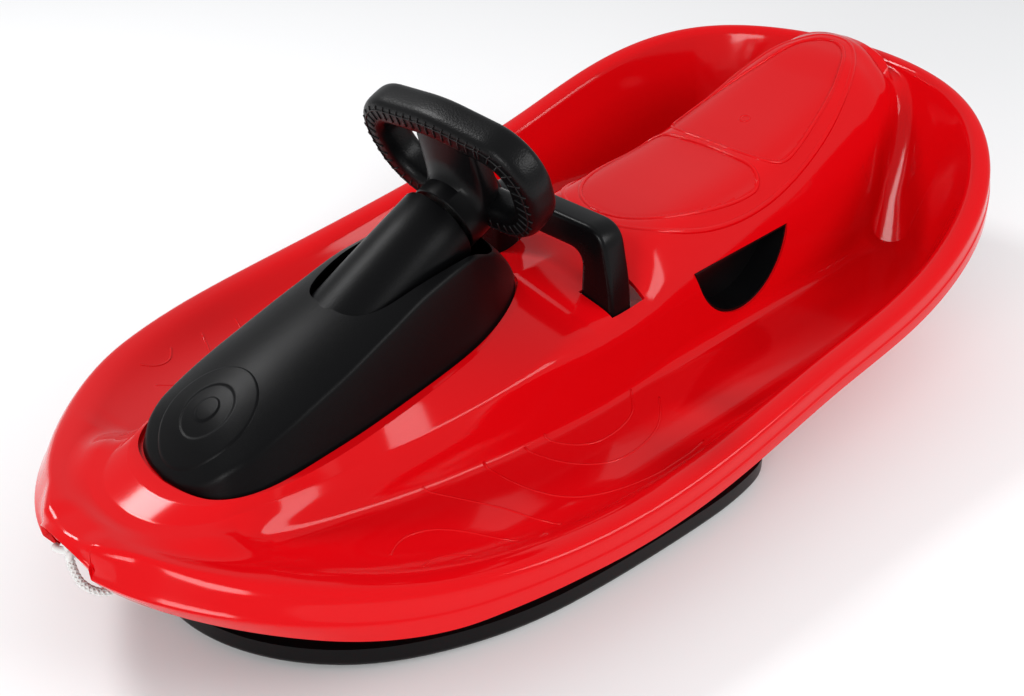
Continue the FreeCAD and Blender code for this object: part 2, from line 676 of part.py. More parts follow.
def make_bush(at_top):
    """Plain bush in one end of the sleeve, with a collar against its end."""
    outer = SLEEVE_BORE_RADIUS - PRESS_GAP
    inner = SHAFT_RADIUS + RUNNING_FIT
    if at_top:
        body = column_tube(outer, inner, -BUSH_LENGTH, 0)
        collar = column_tube(outer - BUSH_COLLAR_LIP, inner, 0, BUSH_COLLAR / 2)
    else:
        body = column_tube(outer, inner, -SLEEVE_LENGTH, -SLEEVE_LENGTH + BUSH_LENGTH)
        collar = column_tube(outer + BUSH_COLLAR_LIP, inner, -SLEEVE_LENGTH - BUSH_COLLAR, -SLEEVE_LENGTH)
    return body.fuse(collar).removeSplitter()


def shaft_low():
    """Lower end of the shaft along the column."""
    return -SLEEVE_LENGTH - BUSH_COLLAR - SHAFT_TAIL


def crank_high():
    """Upper face of the crank along the column."""
    return shaft_low() + CRANK_THICKNESS


def make_shaft():
    """Steel shaft with a groove for its ring and a tapped hole for the wheel bolt."""
    shaft = column_rod(SHAFT_RADIUS, shaft_low(), shaft_high())
    groove_low = -SLEEVE_LENGTH - BUSH_COLLAR - RING_OFFSET
    groove = column_tube(SHAFT_RADIUS + OVERRUN, ring_inner(), groove_low, groove_low + RING_WIDTH)
    bolt = column_rod(BOLT_RADIUS + PRESS_GAP, shaft_high() - BOLT_LENGTH, shaft_high() + OVERRUN)
    return shaft.cut([groove, bolt])


def shaft_high():
    """Upper end of the shaft along the column, inside the wheel's hub."""
    return HUB_DEPTH - HUB_CAP_THICKNESS - BOLT_HEAD_HEIGHT - BOSS_HALF_DEPTH


def ring_inner():
    """Radius of the groove that holds the retaining ring."""
    return SHAFT_RADIUS - RING_WIDTH / 2


def make_ring():
    """Open retaining ring in the shaft's groove."""
    low = -SLEEVE_LENGTH - BUSH_COLLAR - RING_OFFSET + PRESS_GAP
    high = low + RING_WIDTH - 2 * PRESS_GAP
    ring = column_tube(SHAFT_RADIUS + RING_LIP, ring_inner() + PRESS_GAP, low, high)
    reach = SHAFT_RADIUS + 2 * RING_LIP
    gap = box(0, reach, -RING_LIP, RING_LIP, low - OVERRUN, high + OVERRUN)
    return ring.cut(column_shape(gap))


def make_crank():
    """Arm clamped on the lower end of the shaft, hanging down to its pin."""
    low = shaft_low()
    hub = rod(CRANK_HUB_RADIUS, CRANK_THICKNESS, V(0, 0, low))
    half = CRANK_HUB_RADIUS * CRANK_WEB_SHARE
    arm = box(-crank_radius, 0, -half, half, low, low + CRANK_THICKNESS)
    end = rod(half, CRANK_THICKNESS, V(-crank_radius, 0, low))
    crank = hub.fuse([arm, end])
    start = low - OVERRUN
    through = CRANK_THICKNESS + 2 * OVERRUN
    bores = [rod(SHAFT_RADIUS + PRESS_GAP, through, V(0, 0, start)),
             rod(CRANK_PIN_RADIUS + PRESS_GAP, through, V(-crank_radius, 0, start))]
    return column_shape(crank.cut(bores).removeSplitter())


def make_crank_pin():
    """Pin of the crank, pointing down the column into the tiller's fork."""
    start = V(-crank_radius, 0, crank_high() - CRANK_PIN_LENGTH)
    return column_shape(rod(CRANK_PIN_RADIUS, CRANK_PIN_LENGTH, start))


def wheel_path():
    """Middle line of the wheel's rim: a rounded trapezoid with an arched top."""
    arch = WHEEL_TOP * WHEEL_ARCH_SHARE
    corners = [V(WHEEL_TOP - arch, WHEEL_HALF_WIDTH, 0), V(-WHEEL_BOTTOM, WHEEL_FOOT_HALF_WIDTH, 0),
               V(-WHEEL_BOTTOM, -WHEEL_FOOT_HALF_WIDTH, 0), V(WHEEL_TOP - arch, -WHEEL_HALF_WIDTH, 0),
               V(WHEEL_TOP, 0, 0)]
    top_radius = WHEEL_TOP_RADIUS
    radii = [top_radius, WHEEL_FOOT_RADIUS, WHEEL_FOOT_RADIUS, top_radius, 4 * top_radius]
    wire = rounded_loop(corners, radii)
    wire.translate(V(0, 0, WHEEL_OFFSET))
    return wire


def rounded_loop(corners, radii):
    """Closed wire of straight runs joined by tangent arcs at its corners."""
    count = len(corners)
    ends = []
    for i in range(count):
        before = (corners[i - 1] - corners[i]).normalize()
        after = (corners[(i + 1) % count] - corners[i]).normalize()
        half_turn = (math.pi - before.getAngle(after)) / 2
        reach = radii[i] * math.tan(half_turn)
        middle = (before + after).normalize() * (radii[i] / math.cos(half_turn) - radii[i])
        ends.append((corners[i] + before * reach, corners[i] + middle, corners[i] + after * reach))
    edges = []
    for i in range(count):
        start, middle, stop = ends[i]
        edges.append(Part.Arc(start, middle, stop).toShape())
        edges.append(Part.makeLine(stop, ends[(i + 1) % count][0]))
    return Part.Wire(edges)


def rim_tube(shrink):
    """Rim of the wheel with an oval section, shrunk all round."""
    path = wheel_path()
    start = path.Edges[1].valueAt(path.Edges[1].FirstParameter)
    direction = path.Edges[1].tangentAt(path.Edges[1].FirstParameter)
    oval = Part.Ellipse(V(0, 0, 0), GRIP_HALF_DEPTH - shrink, GRIP_HALF_THICKNESS - shrink)
    across = V(0, 0, 1).cross(direction)
    turn = FreeCAD.Rotation(V(0, 0, 1), across, direction, "ZXY")
    section = Part.Wire([oval.toShape()])
    section.Placement = FreeCAD.Placement(start, turn)
    order = path.Edges[1:] + path.Edges[:1]
    return Part.Wire(order).makePipeShell([section], True, False)


def wheel_boss():
    """Hub, collar and broad spoke of the wheel, without its core ring."""
    collar = rod(COLLAR_RADIUS, HUB_DEPTH - COLLAR_GAP - BUSH_COLLAR, V(0, 0, COLLAR_GAP + BUSH_COLLAR))
    low = WHEEL_OFFSET - BOSS_HALF_DEPTH
    spoke = box(-WHEEL_BOTTOM, WHEEL_TOP, -BOSS_HALF_WIDTH, BOSS_HALF_WIDTH, low, low + 2 * BOSS_HALF_DEPTH)
    return collar.fuse(spoke)


def make_armature():
    """Hard inner part of the wheel."""
    body = wheel_boss().fuse(rim_tube(GRIP_SKIN + PRESS_GAP))
    shaft_bore = rod(SHAFT_RADIUS + PRESS_GAP, shaft_high(), V(0, 0, 0))
    bolt_bore = rod(BOLT_RADIUS + SCREW_FIT, HUB_DEPTH, V(0, 0, 0))
    head_low = HUB_DEPTH - HUB_CAP_THICKNESS - BOLT_HEAD_HEIGHT
    head_bore = rod(BOLT_HEAD_RADIUS + SCREW_FIT, HUB_DEPTH, V(0, 0, head_low))
    cap_bore = rod(HUB_CAP_RADIUS + SCREW_FIT, HUB_DEPTH, V(0, 0, HUB_DEPTH - HUB_CAP_THICKNESS))
    return column_shape(body.cut([shaft_bore, bolt_bore, head_bore, cap_bore]).removeSplitter())


def make_grip_cover():
    """Soft cover round the rim, open where the spoke and the hub enter it."""
    cover = rim_tube(0).cut(rim_tube(GRIP_SKIN))
    return column_shape(cover.cut(wheel_boss()).removeSplitter())


def make_wheel_bolt():
    """Bolt from the rider's side into the shaft."""
    low = HUB_DEPTH - HUB_CAP_THICKNESS - BOLT_HEAD_HEIGHT
    reach = low - shaft_high() + BOLT_LENGTH - OVERRUN
    head = rod(BOLT_HEAD_RADIUS, BOLT_HEAD_HEIGHT - PRESS_GAP, V(0, 0, low))
    bolt = head.fuse(rod(BOLT_RADIUS, reach, V(0, 0, low - reach)))
    return column_shape(bolt.removeSplitter())


def make_hub_cap():
    """Round cap over the wheel bolt."""
    return column_rod(HUB_CAP_RADIUS, HUB_DEPTH - HUB_CAP_THICKNESS, HUB_DEPTH)


def ski_outline(inset, height):
    """Plan outline of the ski, moved inwards."""
    length = SKI_FRONT_X - SKI_REAR_X - 2 * inset
    return mirrored_outline([V(SKI_REAR_X + inset + share * length, y * (SKI_HALF_WIDTH - inset), height)
                             for share, y in SKI_OUTLINE_SHARES])


def make_ski():
    """Wide steerable tray with a hub, a pad for the tiller and two shallow keels."""
    plate = prism(ski_outline(0, ski_bottom), V(0, 0, SKI_THICKNESS))
    low_edge = [edge for edge in plate.Edges if edge.BoundBox.ZMax < ski_top - SKI_EDGE_FILLET]
    plate = plate.makeFillet(SKI_EDGE_FILLET, low_edge)
    plate = plate.cut(prism(ski_outline(2 * SKI_WALL, ski_bottom + SKI_WALL), V(0, 0, SKI_THICKNESS)))
    bosses = [rod(SKI_HUB_RADIUS, hub_top - ski_bottom, V(KINGPIN_X, 0, ski_bottom))]
    bosses.append(tiller_foot(ski_bottom, ski_top))
    for side in (-1, 1):
        x = SKI_KEEL_X - SKI_KEEL_LENGTH / 2
        y = side * SKI_KEEL_SPREAD / 2 - SKI_KEEL_WIDTH / 2
        bosses.append(box(x, x + SKI_KEEL_LENGTH, y, y + SKI_KEEL_WIDTH, 0, ski_bottom + SKI_WALL / 2))
    body = plate.fuse(bosses)
    bore = rod(KINGPIN_RADIUS + SKI_BUSH_WALL + PRESS_GAP, REACH, V(KINGPIN_X, 0, 0))
    recess_top = kingpin_low() + KINGPIN_HEAD_HEIGHT + THRUST_GAP
    cuts = [bore, rod(KINGPIN_HEAD_RADIUS + SEAT_GAP, recess_top, V(KINGPIN_X, 0, 0))]
    for place in tiller_screw_places():
        cuts.append(screw_hole(place, V(0, 0, 1), TILLER_SCREW_LENGTH))
        cuts.append(rod(SCREW_HEAD_RADIUS + SEAT_GAP, place.z, V(place.x, place.y, 0)))
    return body.cut(cuts).removeSplitter()


def tiller_foot(low, high):
    """Block with the plan of the tiller's foot."""
    half_x = TILLER_FOOT_LENGTH / 2
    half_y = TILLER_FOOT_WIDTH / 2
    return box(fork_x - half_x, fork_x + half_x, -half_y, half_y, low, high)


def kingpin_low():
    """Underside of the kingpin's head."""
    return ski_bottom + SKI_LIFT / 2


def tiller_screw_places():
    """Where the tiller's screws sit, in the underside of the ski."""
    places = []
    for sx in (-1, 1):
        for sy in (-1, 1):
            x = fork_x + sx * (TILLER_FOOT_LENGTH / 2 - 2 * SCREW_HEAD_RADIUS)
            y = sy * (TILLER_FOOT_WIDTH / 2 - 2 * SCREW_HEAD_RADIUS)
            places.append(V(x, y, ski_bottom + SCREW_HEAD_HEIGHT + 2 * SEAT_GAP))
    return places


def tiller_half_width():
    """Half of the fork's outer width."""
    skew = TILLER_THICKNESS * math.tan(math.radians(SKI_TURN))
    return CRANK_PIN_RADIUS + TILLER_FORK_GAP + skew / 2 + TILLER_FORK_WALL


def make_tiller():
    """Upright fork on the ski with an open slot for the crank pin."""
    half_foot = TILLER_FOOT_LENGTH / 2
    half = tiller_half_width()
    half_post = TILLER_THICKNESS / 2
    foot = tiller_foot(ski_top, ski_top + TILLER_FOOT_THICKNESS)
    post = box(fork_x - half_post, fork_x + half_post, -half, half, ski_top, TILLER_TOP_Z)
    rib = polygon([V(fork_x - half_foot, -half_post, ski_top), V(fork_x + half_foot, -half_post, ski_top),
                   V(fork_x, -half_post, TILLER_TOP_Z / 2)])
    slot_half = half - TILLER_FORK_WALL
    slot_low = TILLER_TOP_Z - TILLER_SLOT_DEPTH + slot_half
    slot = box(fork_x - half_foot, fork_x + half_foot, -slot_half, slot_half,
               slot_low, TILLER_TOP_Z + OVERRUN)
    slot_end = rod(slot_half, TILLER_FOOT_LENGTH, V(fork_x - half_foot, 0, slot_low), V(1, 0, 0))
    body = foot.fuse([post, prism(rib, V(0, TILLER_THICKNESS, 0))])
    holes = [screw_hole(place, V(0, 0, 1), TILLER_SCREW_LENGTH) for place in tiller_screw_places()]
    return body.cut([slot, slot_end] + holes).removeSplitter()


def make_housing():
    """Block under the deck that carries the kingpin."""
    top = housing_top()
    low = hub_top + THRUST_WASHER_THICKNESS + THRUST_GAP
    half = HOUSING_FLANGE / 2
    reach = half + 2 * SCREW_HEAD_RADIUS
    flange = box(KINGPIN_X - half, KINGPIN_X + half, -reach, reach,
                 top - HOUSING_FLANGE_THICKNESS, top + OVERRUN)
    wedge = above_seat(HULL_WALL)
    body = rod(HOUSING_RADIUS, top - low, V(KINGPIN_X, 0, low)).fuse(flange).cut(wedge)
    bore = rod(KINGPIN_RADIUS + PRESS_GAP, REACH, V(KINGPIN_X, 0, 0))
    holes = [screw_hole(place, V(0, 0, 1)) for place in housing_screw_places()]
    return body.cut([bore] + holes).removeSplitter()


def make_kingpin():
    """Bolt from under the ski through the housing and the deck."""
    low = kingpin_low()
    top = nut_low() + NUT_HEIGHT + WASHER_THICKNESS
    head = rod(KINGPIN_HEAD_RADIUS, KINGPIN_HEAD_HEIGHT, V(KINGPIN_X, 0, low))
    return head.fuse(rod(KINGPIN_RADIUS, top - low, V(KINGPIN_X, 0, low))).removeSplitter()


def nut_low():
    """Underside of the kingpin's nut, above its washer on the sloping deck."""
    return seat_height(KINGPIN_X - WASHER_RADIUS) + WASHER_THICKNESS


def make_kingpin_washer():
    """Washer under the nut."""
    base = V(KINGPIN_X, 0, nut_low() - WASHER_THICKNESS)
    return tube(WASHER_RADIUS, KINGPIN_RADIUS + PRESS_GAP, WASHER_THICKNESS, base)


def make_nut():
    """Hexagon nut on the kingpin."""
    points = []
    for i in range(6):
        angle = math.pi * i / 3
        x = KINGPIN_X + NUT_RADIUS * math.cos(angle)
        points.append(V(x, NUT_RADIUS * math.sin(angle), nut_low()))
    nut = prism(polygon(points), V(0, 0, NUT_HEIGHT))
    return nut.cut(rod(KINGPIN_RADIUS + PRESS_GAP, REACH, V(KINGPIN_X, 0, 0)))


def make_ski_bush():
    """Bush pressed in the ski, turning on the kingpin."""
    low = kingpin_low() + KINGPIN_HEAD_HEIGHT + THRUST_GAP
    outer = KINGPIN_RADIUS + SKI_BUSH_WALL
    return tube(outer, KINGPIN_RADIUS + RUNNING_FIT, hub_top - low, V(KINGPIN_X, 0, low))


def make_thrust_washer():
    """Sliding washer on the ski's hub, under the housing."""
    return tube(HOUSING_RADIUS, KINGPIN_RADIUS + SKI_BUSH_WALL, THRUST_WASHER_THICKNESS,
                V(KINGPIN_X, 0, hub_top + THRUST_GAP))


def brake_outline(side):
    """Outline of the brake lever across the sled, seen along X, down to its pivot bosses."""
    low = BRAKE_PIVOT_Z - BRAKE_DEPTH / 2
    return [V(0, side * BRAKE_INNER_HALF, low), V(0, side * BRAKE_LEG_HALF, low),
            V(0, side * BRAKE_LEG_HALF, BRAKE_FLARE_Z), V(0, side * BRAKE_TOP_HALF, BRAKE_TOP_Z)]


def make_brake_lever():
    """U-shaped lever across the tunnel, with flared legs and round pivot ends."""
    left = brake_outline(1)
    right = brake_outline(-1)
    under_bar = BRAKE_TOP_Z - BRAKE_BAR_HEIGHT
    inner = [V(0, -BRAKE_INNER_HALF, under_bar), V(0, BRAKE_INNER_HALF, under_bar)]
    points = left[1:] + right[:0:-1] + [right[0]] + inner + [left[0]]
    rear = BRAKE_X - BRAKE_DEPTH / 2
    lever = prism(polygon(points), V(BRAKE_DEPTH, 0, 0))
    lever.translate(V(rear, 0, 0))
    bends = [edge for edge in lever.Edges
             if edge.BoundBox.ZMin > under_bar + PRESS_GAP and edge.BoundBox.XLength > BRAKE_DEPTH / 2]
    lever = lever.makeFillet(BRAKE_BEND_RADIUS, bends)
    low = BRAKE_PIVOT_Z - BRAKE_DEPTH / 2
    for side in (-1, 1):
        y0, y1 = sorted((side * BRAKE_INNER_HALF, side * BRAKE_LEG_HALF))
        end = box(rear, rear + BRAKE_DEPTH, y0, y1, low, BRAKE_PIVOT_Z)
        lever = lever.cut(end).fuse(rod(BRAKE_DEPTH / 2, y1 - y0, V(BRAKE_X, y0, BRAKE_PIVOT_Z), V(0, 1, 0)))
    bore = rod(AXLE_RADIUS + RUNNING_FIT, 2 * REACH, V(BRAKE_X, -REACH, BRAKE_PIVOT_Z), V(0, 1, 0))
    holes = [rivet_hole(place) for place in rivet_places()]
    return lever.cut([bore] + holes).removeSplitter()


def make_axle():
    """Steel axle of the brake lever."""
    reach = axle_reach()
    return rod(AXLE_RADIUS, 2 * reach, V(BRAKE_X, -reach, BRAKE_PIVOT_Z), V(0, 1, 0))


def axle_reach():
    """Half the length of the brake axle."""
    return BRAKE_LEG_HALF + THRUST_GAP + AXLE_CAP_THICKNESS


def make_axle_caps():
    """Two push-on caps at the ends of the brake axle."""
    low = BRAKE_LEG_HALF + THRUST_GAP
    caps = []
    for y in (low, -low - AXLE_CAP_THICKNESS):
        start = V(BRAKE_X, y, BRAKE_PIVOT_Z)
        caps.append(tube(AXLE_CAP_RADIUS, AXLE_RADIUS + PRESS_GAP, AXLE_CAP_THICKNESS, start, V(0, 1, 0)))
    return Part.makeCompound(caps)


def make_claws():
    """Two bent claws on the rear of the lever's legs, reaching back behind the ski."""
    rear = BRAKE_X - BRAKE_DEPTH / 2
    tip_x = BRAKE_X - CLAW_REACH
    elbow_x = BRAKE_X - CLAW_ELBOW_REACH
    points = [V(rear, 0, BRAKE_PIVOT_Z + CLAW_TAB), V(rear, 0, BRAKE_PIVOT_Z),
              V(elbow_x, 0, CLAW_ELBOW_Z), V(tip_x + CLAW_THICKNESS, 0, CLAW_TIP_Z), V(tip_x, 0, CLAW_TIP_Z),
              V(elbow_x - CLAW_TOOTH, 0, CLAW_ELBOW_Z + CLAW_TOOTH),
              V(rear - CLAW_THICKNESS, 0, BRAKE_PIVOT_Z + CLAW_THICKNESS),
              V(rear - CLAW_THICKNESS, 0, BRAKE_PIVOT_Z + CLAW_TAB)]
    claws = []
    for y in (BRAKE_INNER_HALF, -BRAKE_INNER_HALF - CLAW_WIDTH):
        claw = prism(polygon(points), V(0, CLAW_WIDTH, 0))
        claw.translate(V(0, y, 0))
        claws.append(claw)
    claws = Part.makeCompound(claws)
    return claws.cut(Part.makeCompound([rivet_hole(place) for place in rivet_places()]))


def rivet_places():
    """Where the rivets enter the rear faces of the claws."""
    places = []
    x = BRAKE_X - BRAKE_DEPTH / 2 - CLAW_THICKNESS
    z = BRAKE_PIVOT_Z + CLAW_TAB - RIVET_SPACING
    for side in (-1, 1):
        middle = side * (BRAKE_INNER_HALF + CLAW_WIDTH / 2)
        for step in (-1, 1):
            places.append(V(x, middle + step * RIVET_SPACING / 2, z))
    return places


def rivet_hole(place):
    """Hole for one rivet."""
    return rod(RIVET_RADIUS + PRESS_GAP, RIVET_LENGTH + OVERRUN, place - V(OVERRUN, 0, 0), V(1, 0, 0))


def make_rivets():
    """Rivets that hold the claws on the lever."""
    rivets = []
    for place in rivet_places():
        head = rod(RIVET_HEAD_RADIUS, RIVET_HEAD_HEIGHT, place, V(-1, 0, 0))
        rivets.append(head.fuse(rod(RIVET_RADIUS, RIVET_LENGTH, place, V(1, 0, 0))).removeSplitter())
    return Part.makeCompound(rivets)


def cup_block(side, grow, inner_y):
    """D-shaped block through the tunnel's side wall."""
    depth = 2 * CUP_DEPTH
    return prism(cup_outline(grow, side * inner_y), V(0, side * depth, 0))


def make_cup(side):
    """Hand-hold dish in the side of the tunnel, flush with its wall."""
    dish = cup_block(side, 0, cup_inner_y).cut(cup_block(side, -CUP_WALL, cup_inner_y + CUP_WALL))
    return largest(dish.common(spine(0, FLOOR_HEIGHT - HULL_WALL)))


def cord_path(points):
    """Straight runs joined by tangent arcs, with the radii of the arcs."""
    edges = []
    radii = []
    start = points[0]
    for before, corner, after in zip(points, points[1:], points[2:]):
        to_before = before - corner
        to_after = after - corner
        run = min(to_before.Length, to_after.Length) * CORD_BLEND_SHARE
        half_turn = (math.pi - to_before.getAngle(to_after)) / 2
        radius = run / math.tan(half_turn)
        to_before.normalize()
        to_after.normalize()
        inward = (to_before + to_after).normalize()
        middle = corner + inward * (radius / math.cos(half_turn) - radius)
        entry = corner + to_before * run
        leave = corner + to_after * run
        edges.append(Part.makeLine(start, entry))
        edges.append(Part.Arc(entry, middle, leave).toShape())
        radii.append(round(radius, 1))
        start = leave
    edges.append(Part.makeLine(start, points[-1]))
    return Part.Wire(edges), radii


def make_cord():
    """Tow loop as a round tube along its route."""
    path, radii = cord_path(CORD_ROUTE)
    direction = CORD_ROUTE[1] - CORD_ROUTE[0]
    section = Part.Wire([Part.makeCircle(CORD_RADIUS, CORD_ROUTE[0], direction)])
    cord = path.makePipeShell([section], True, False)
    expected = math.pi * CORD_RADIUS * CORD_RADIUS * path.Length
    print("cord radii", radii, "length", round(path.Length), "volume share", round(cord.Volume / expected, 4))
    return cord


def make_knot(cord):
    """Knot of the tow loop with its cut end, holding both ends of the cord."""
    tail = KNOT_TAIL_END - KNOT_CENTRE
    knot = Part.makeSphere(KNOT_RADIUS, KNOT_CENTRE)
    return largest(knot.fuse(rod(CORD_RADIUS, tail.Length, KNOT_CENTRE, tail)).cut(cord))


def screw_group(places, length=SCREW_LENGTH):
    """Screws of one joint, all pointing up."""
    return Part.makeCompound([screw(place, V(0, 0, 1), length) for place in places])


def export(name, shape):
    """Write one node and keep its shape."""
    parts[name] = shape
    shape.exportStep("parts/" + name + ".step")
    solids = len(shape.Solids)
    print(name, "solids", solids, "volume", round(shape.Volume), "valid", shape.isValid(), flush=True)


def export_steering():
    """Column, wheel and crank."""
    export("column_sleeve", make_sleeve())
    export("sleeve_screws", screw_group(sleeve_screw_places()))
    export("upper_shaft_bush", make_bush(True))
    export("lower_shaft_bush", make_bush(False))
    export("steering_shaft", make_shaft())
    export("shaft_retaining_ring", make_ring())
    export("steering_crank", make_crank())
    export("crank_pin", make_crank_pin())
    export("wheel_armature", make_armature())
    export("wheel_grip_cover", make_grip_cover())
    export("wheel_bolt", make_wheel_bolt())
    export("wheel_hub_cap", make_hub_cap())


def export_ski():
    """Ski and its pivot."""
    export("front_ski", make_ski())
    export("ski_tiller", make_tiller())
    export("tiller_screws", screw_group(tiller_screw_places(), TILLER_SCREW_LENGTH))
    export("kingpin_housing", make_housing())
    export("housing_screws", screw_group(housing_screw_places()))
    export("kingpin", make_kingpin())
    export("ski_bush", make_ski_bush())
    export("thrust_washer", make_thrust_washer())
    export("kingpin_washer", make_kingpin_washer())
    export("kingpin_nut", make_nut())


def export_brake():
    """Brake lever and its claws."""
    export("brake_lever", make_brake_lever())
    export("brake_axle", make_axle())
    export("axle_caps", make_axle_caps())
    export("brake_claws", make_claws())
    export("claw_rivets", make_rivets())


def export_trim():
    """Cowl, cups and tow loop."""
    export("column_cowl", make_cowl())
    export("cowl_screws", screw_group(cowl_screw_places()))
    export("left_grip_cup", make_cup(1))
    export("right_grip_cup", make_cup(-1))
    cord = make_cord()
    export("tow_cord", cord)
    export("tow_knot", make_knot(cord))


def main():
    """Build and write every node."""
    os.makedirs("parts", exist_ok=True)
    export_steering()
    export_ski()
    export_brake()
    export_trim()
    export("hull_shell", make_hull())


if __name__ == "__main__":
    main()
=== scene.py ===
import logging
import math
from collections.abc import Sequence
from dataclasses import dataclass
from enum import Enum

import bmesh
import bpy
import numpy as np
from mathutils import Matrix, Vector
from mathutils.bvhtree import BVHTree


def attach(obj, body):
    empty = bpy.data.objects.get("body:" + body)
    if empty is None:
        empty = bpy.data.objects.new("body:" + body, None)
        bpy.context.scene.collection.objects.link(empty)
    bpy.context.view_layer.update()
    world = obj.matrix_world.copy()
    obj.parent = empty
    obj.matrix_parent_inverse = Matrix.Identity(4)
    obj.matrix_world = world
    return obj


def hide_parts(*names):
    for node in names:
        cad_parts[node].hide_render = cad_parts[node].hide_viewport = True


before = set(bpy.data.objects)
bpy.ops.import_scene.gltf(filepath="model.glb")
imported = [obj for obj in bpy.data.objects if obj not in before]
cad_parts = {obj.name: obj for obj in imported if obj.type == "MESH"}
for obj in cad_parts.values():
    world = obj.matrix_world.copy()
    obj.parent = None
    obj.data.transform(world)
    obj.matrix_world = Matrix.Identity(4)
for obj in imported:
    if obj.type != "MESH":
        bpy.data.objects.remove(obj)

# Looks of a steering sled, in metres. +X points to the nose, +Y to the rider's left, +Z up.

log = logging.getLogger("sled")

Point = tuple[float, float, float]
Colour = tuple[float, float, float]
Knots = Sequence[tuple[float, float]]
Face = tuple[int, ...]
Tube = tuple[np.ndarray, list[Face]]
MM = 0.001
# Added to lengths that are divided by, so that none is zero.
TINY = 1e-9
# A height above the whole part, in metres, from which rays look down.
OVER_ALL = 0.4


class Body(Enum):
    """Bodies of the frame that pieces ride on."""

    SLED = "sled"
    STEERING = "steering"
    BRAKE = "brake"


class Slot(Enum):
    """Material slots that pieces name."""

    HULL = "hull_red"
    COWL = "cowl_black"
    TRIM = "trim_black"
    COVER = "wheel_cover"
    CORD = "cord"


class Relief(Enum):
    """Kinds of fine surface relief."""

    NONE = "none"
    GRAIN = "grain"
    LEATHER = "leather"


# Shared effects


def new_group(name: str, outputs: list[str], inputs: dict[str, float]) -> bpy.types.NodeTree:
    """Makes an empty shader node group.

    Args:
        name: Name of the group.
        outputs: Names of its float outputs.
        inputs: Its float inputs and their defaults.

    Returns:
        The group, with its input and output nodes in place.
    """
    group = bpy.data.node_groups.new(name, "ShaderNodeTree")
    for label, value in inputs.items():
        socket = group.interface.new_socket(label, in_out="INPUT", socket_type="NodeSocketFloat")
        socket.default_value = value
    for label in outputs:
        group.interface.new_socket(label, in_out="OUTPUT", socket_type="NodeSocketFloat")
    group.nodes.new("NodeGroupInput").name = "in"
    group.nodes.new("NodeGroupOutput").name = "out"
    return group


def drift_group() -> bpy.types.NodeTree:
    """Makes the group that lets a roughness drift gently over a surface.

    Returns:
        A group from Roughness and Amount to Roughness.
    """
    group = new_group("Roughness Drift", ["Roughness"], {"Roughness": 0.4, "Amount": 0.05})
    nodes, links = group.nodes, group.links
    coords = nodes.new("ShaderNodeTexCoord")
    noise = nodes.new("ShaderNodeTexNoise")
    noise.inputs["Scale"].default_value = 14.0
    noise.inputs["Detail"].default_value = 3.0
    centred = nodes.new("ShaderNodeMath")
    centred.operation = "SUBTRACT"
    centred.inputs[1].default_value = 0.5
    scaled = nodes.new("ShaderNodeMath")
    scaled.operation = "MULTIPLY_ADD"
    links.new(coords.outputs["Object"], noise.inputs["Vector"])
    links.new(noise.outputs["Fac"], centred.inputs[0])
    links.new(centred.outputs[0], scaled.inputs[0])
    links.new(nodes["in"].outputs["Amount"], scaled.inputs[1])
    links.new(nodes["in"].outputs["Roughness"], scaled.inputs[2])
    links.new(scaled.outputs[0], nodes["out"].inputs["Roughness"])
    return group


def grain_group() -> bpy.types.NodeTree:
    """Makes the group for the fine spark-eroded grain of moulded plastic.

    Returns:
        A group from Scale to Height.
    """
    group = new_group("Mould Grain", ["Height"], {"Scale": 900.0})
    nodes, links = group.nodes, group.links
    coords = nodes.new("ShaderNodeTexCoord")
    noise = nodes.new("ShaderNodeTexNoise")
    noise.inputs["Detail"].default_value = 2.0
    noise.inputs["Roughness"].default_value = 0.6
    links.new(coords.outputs["Object"], noise.inputs["Vector"])
    links.new(nodes["in"].outputs["Scale"], noise.inputs["Scale"])
    links.new(noise.outputs["Fac"], nodes["out"].inputs["Height"])
    return group


def leather_group() -> bpy.types.NodeTree:
    """Makes the group for the soft pebbled grain of leather.

    Returns:
        A group from Scale to Height.
    """
    group = new_group("Leather Grain", ["Height"], {"Scale": 500.0})
    nodes, links = group.nodes, group.links
    coords = nodes.new("ShaderNodeTexCoord")
    cells = nodes.new("ShaderNodeTexVoronoi")
    cells.feature = "SMOOTH_F1"
    cells.inputs["Smoothness"].default_value = 0.6
    links.new(coords.outputs["Object"], cells.inputs["Vector"])
    links.new(nodes["in"].outputs["Scale"], cells.inputs["Scale"])
    links.new(cells.outputs["Distance"], nodes["out"].inputs["Height"])
    return group


@dataclass(frozen=True)
class Effects:
    """The node groups that finishes share."""

    drift: bpy.types.NodeTree
    grain: bpy.types.NodeTree
    leather: bpy.types.NodeTree


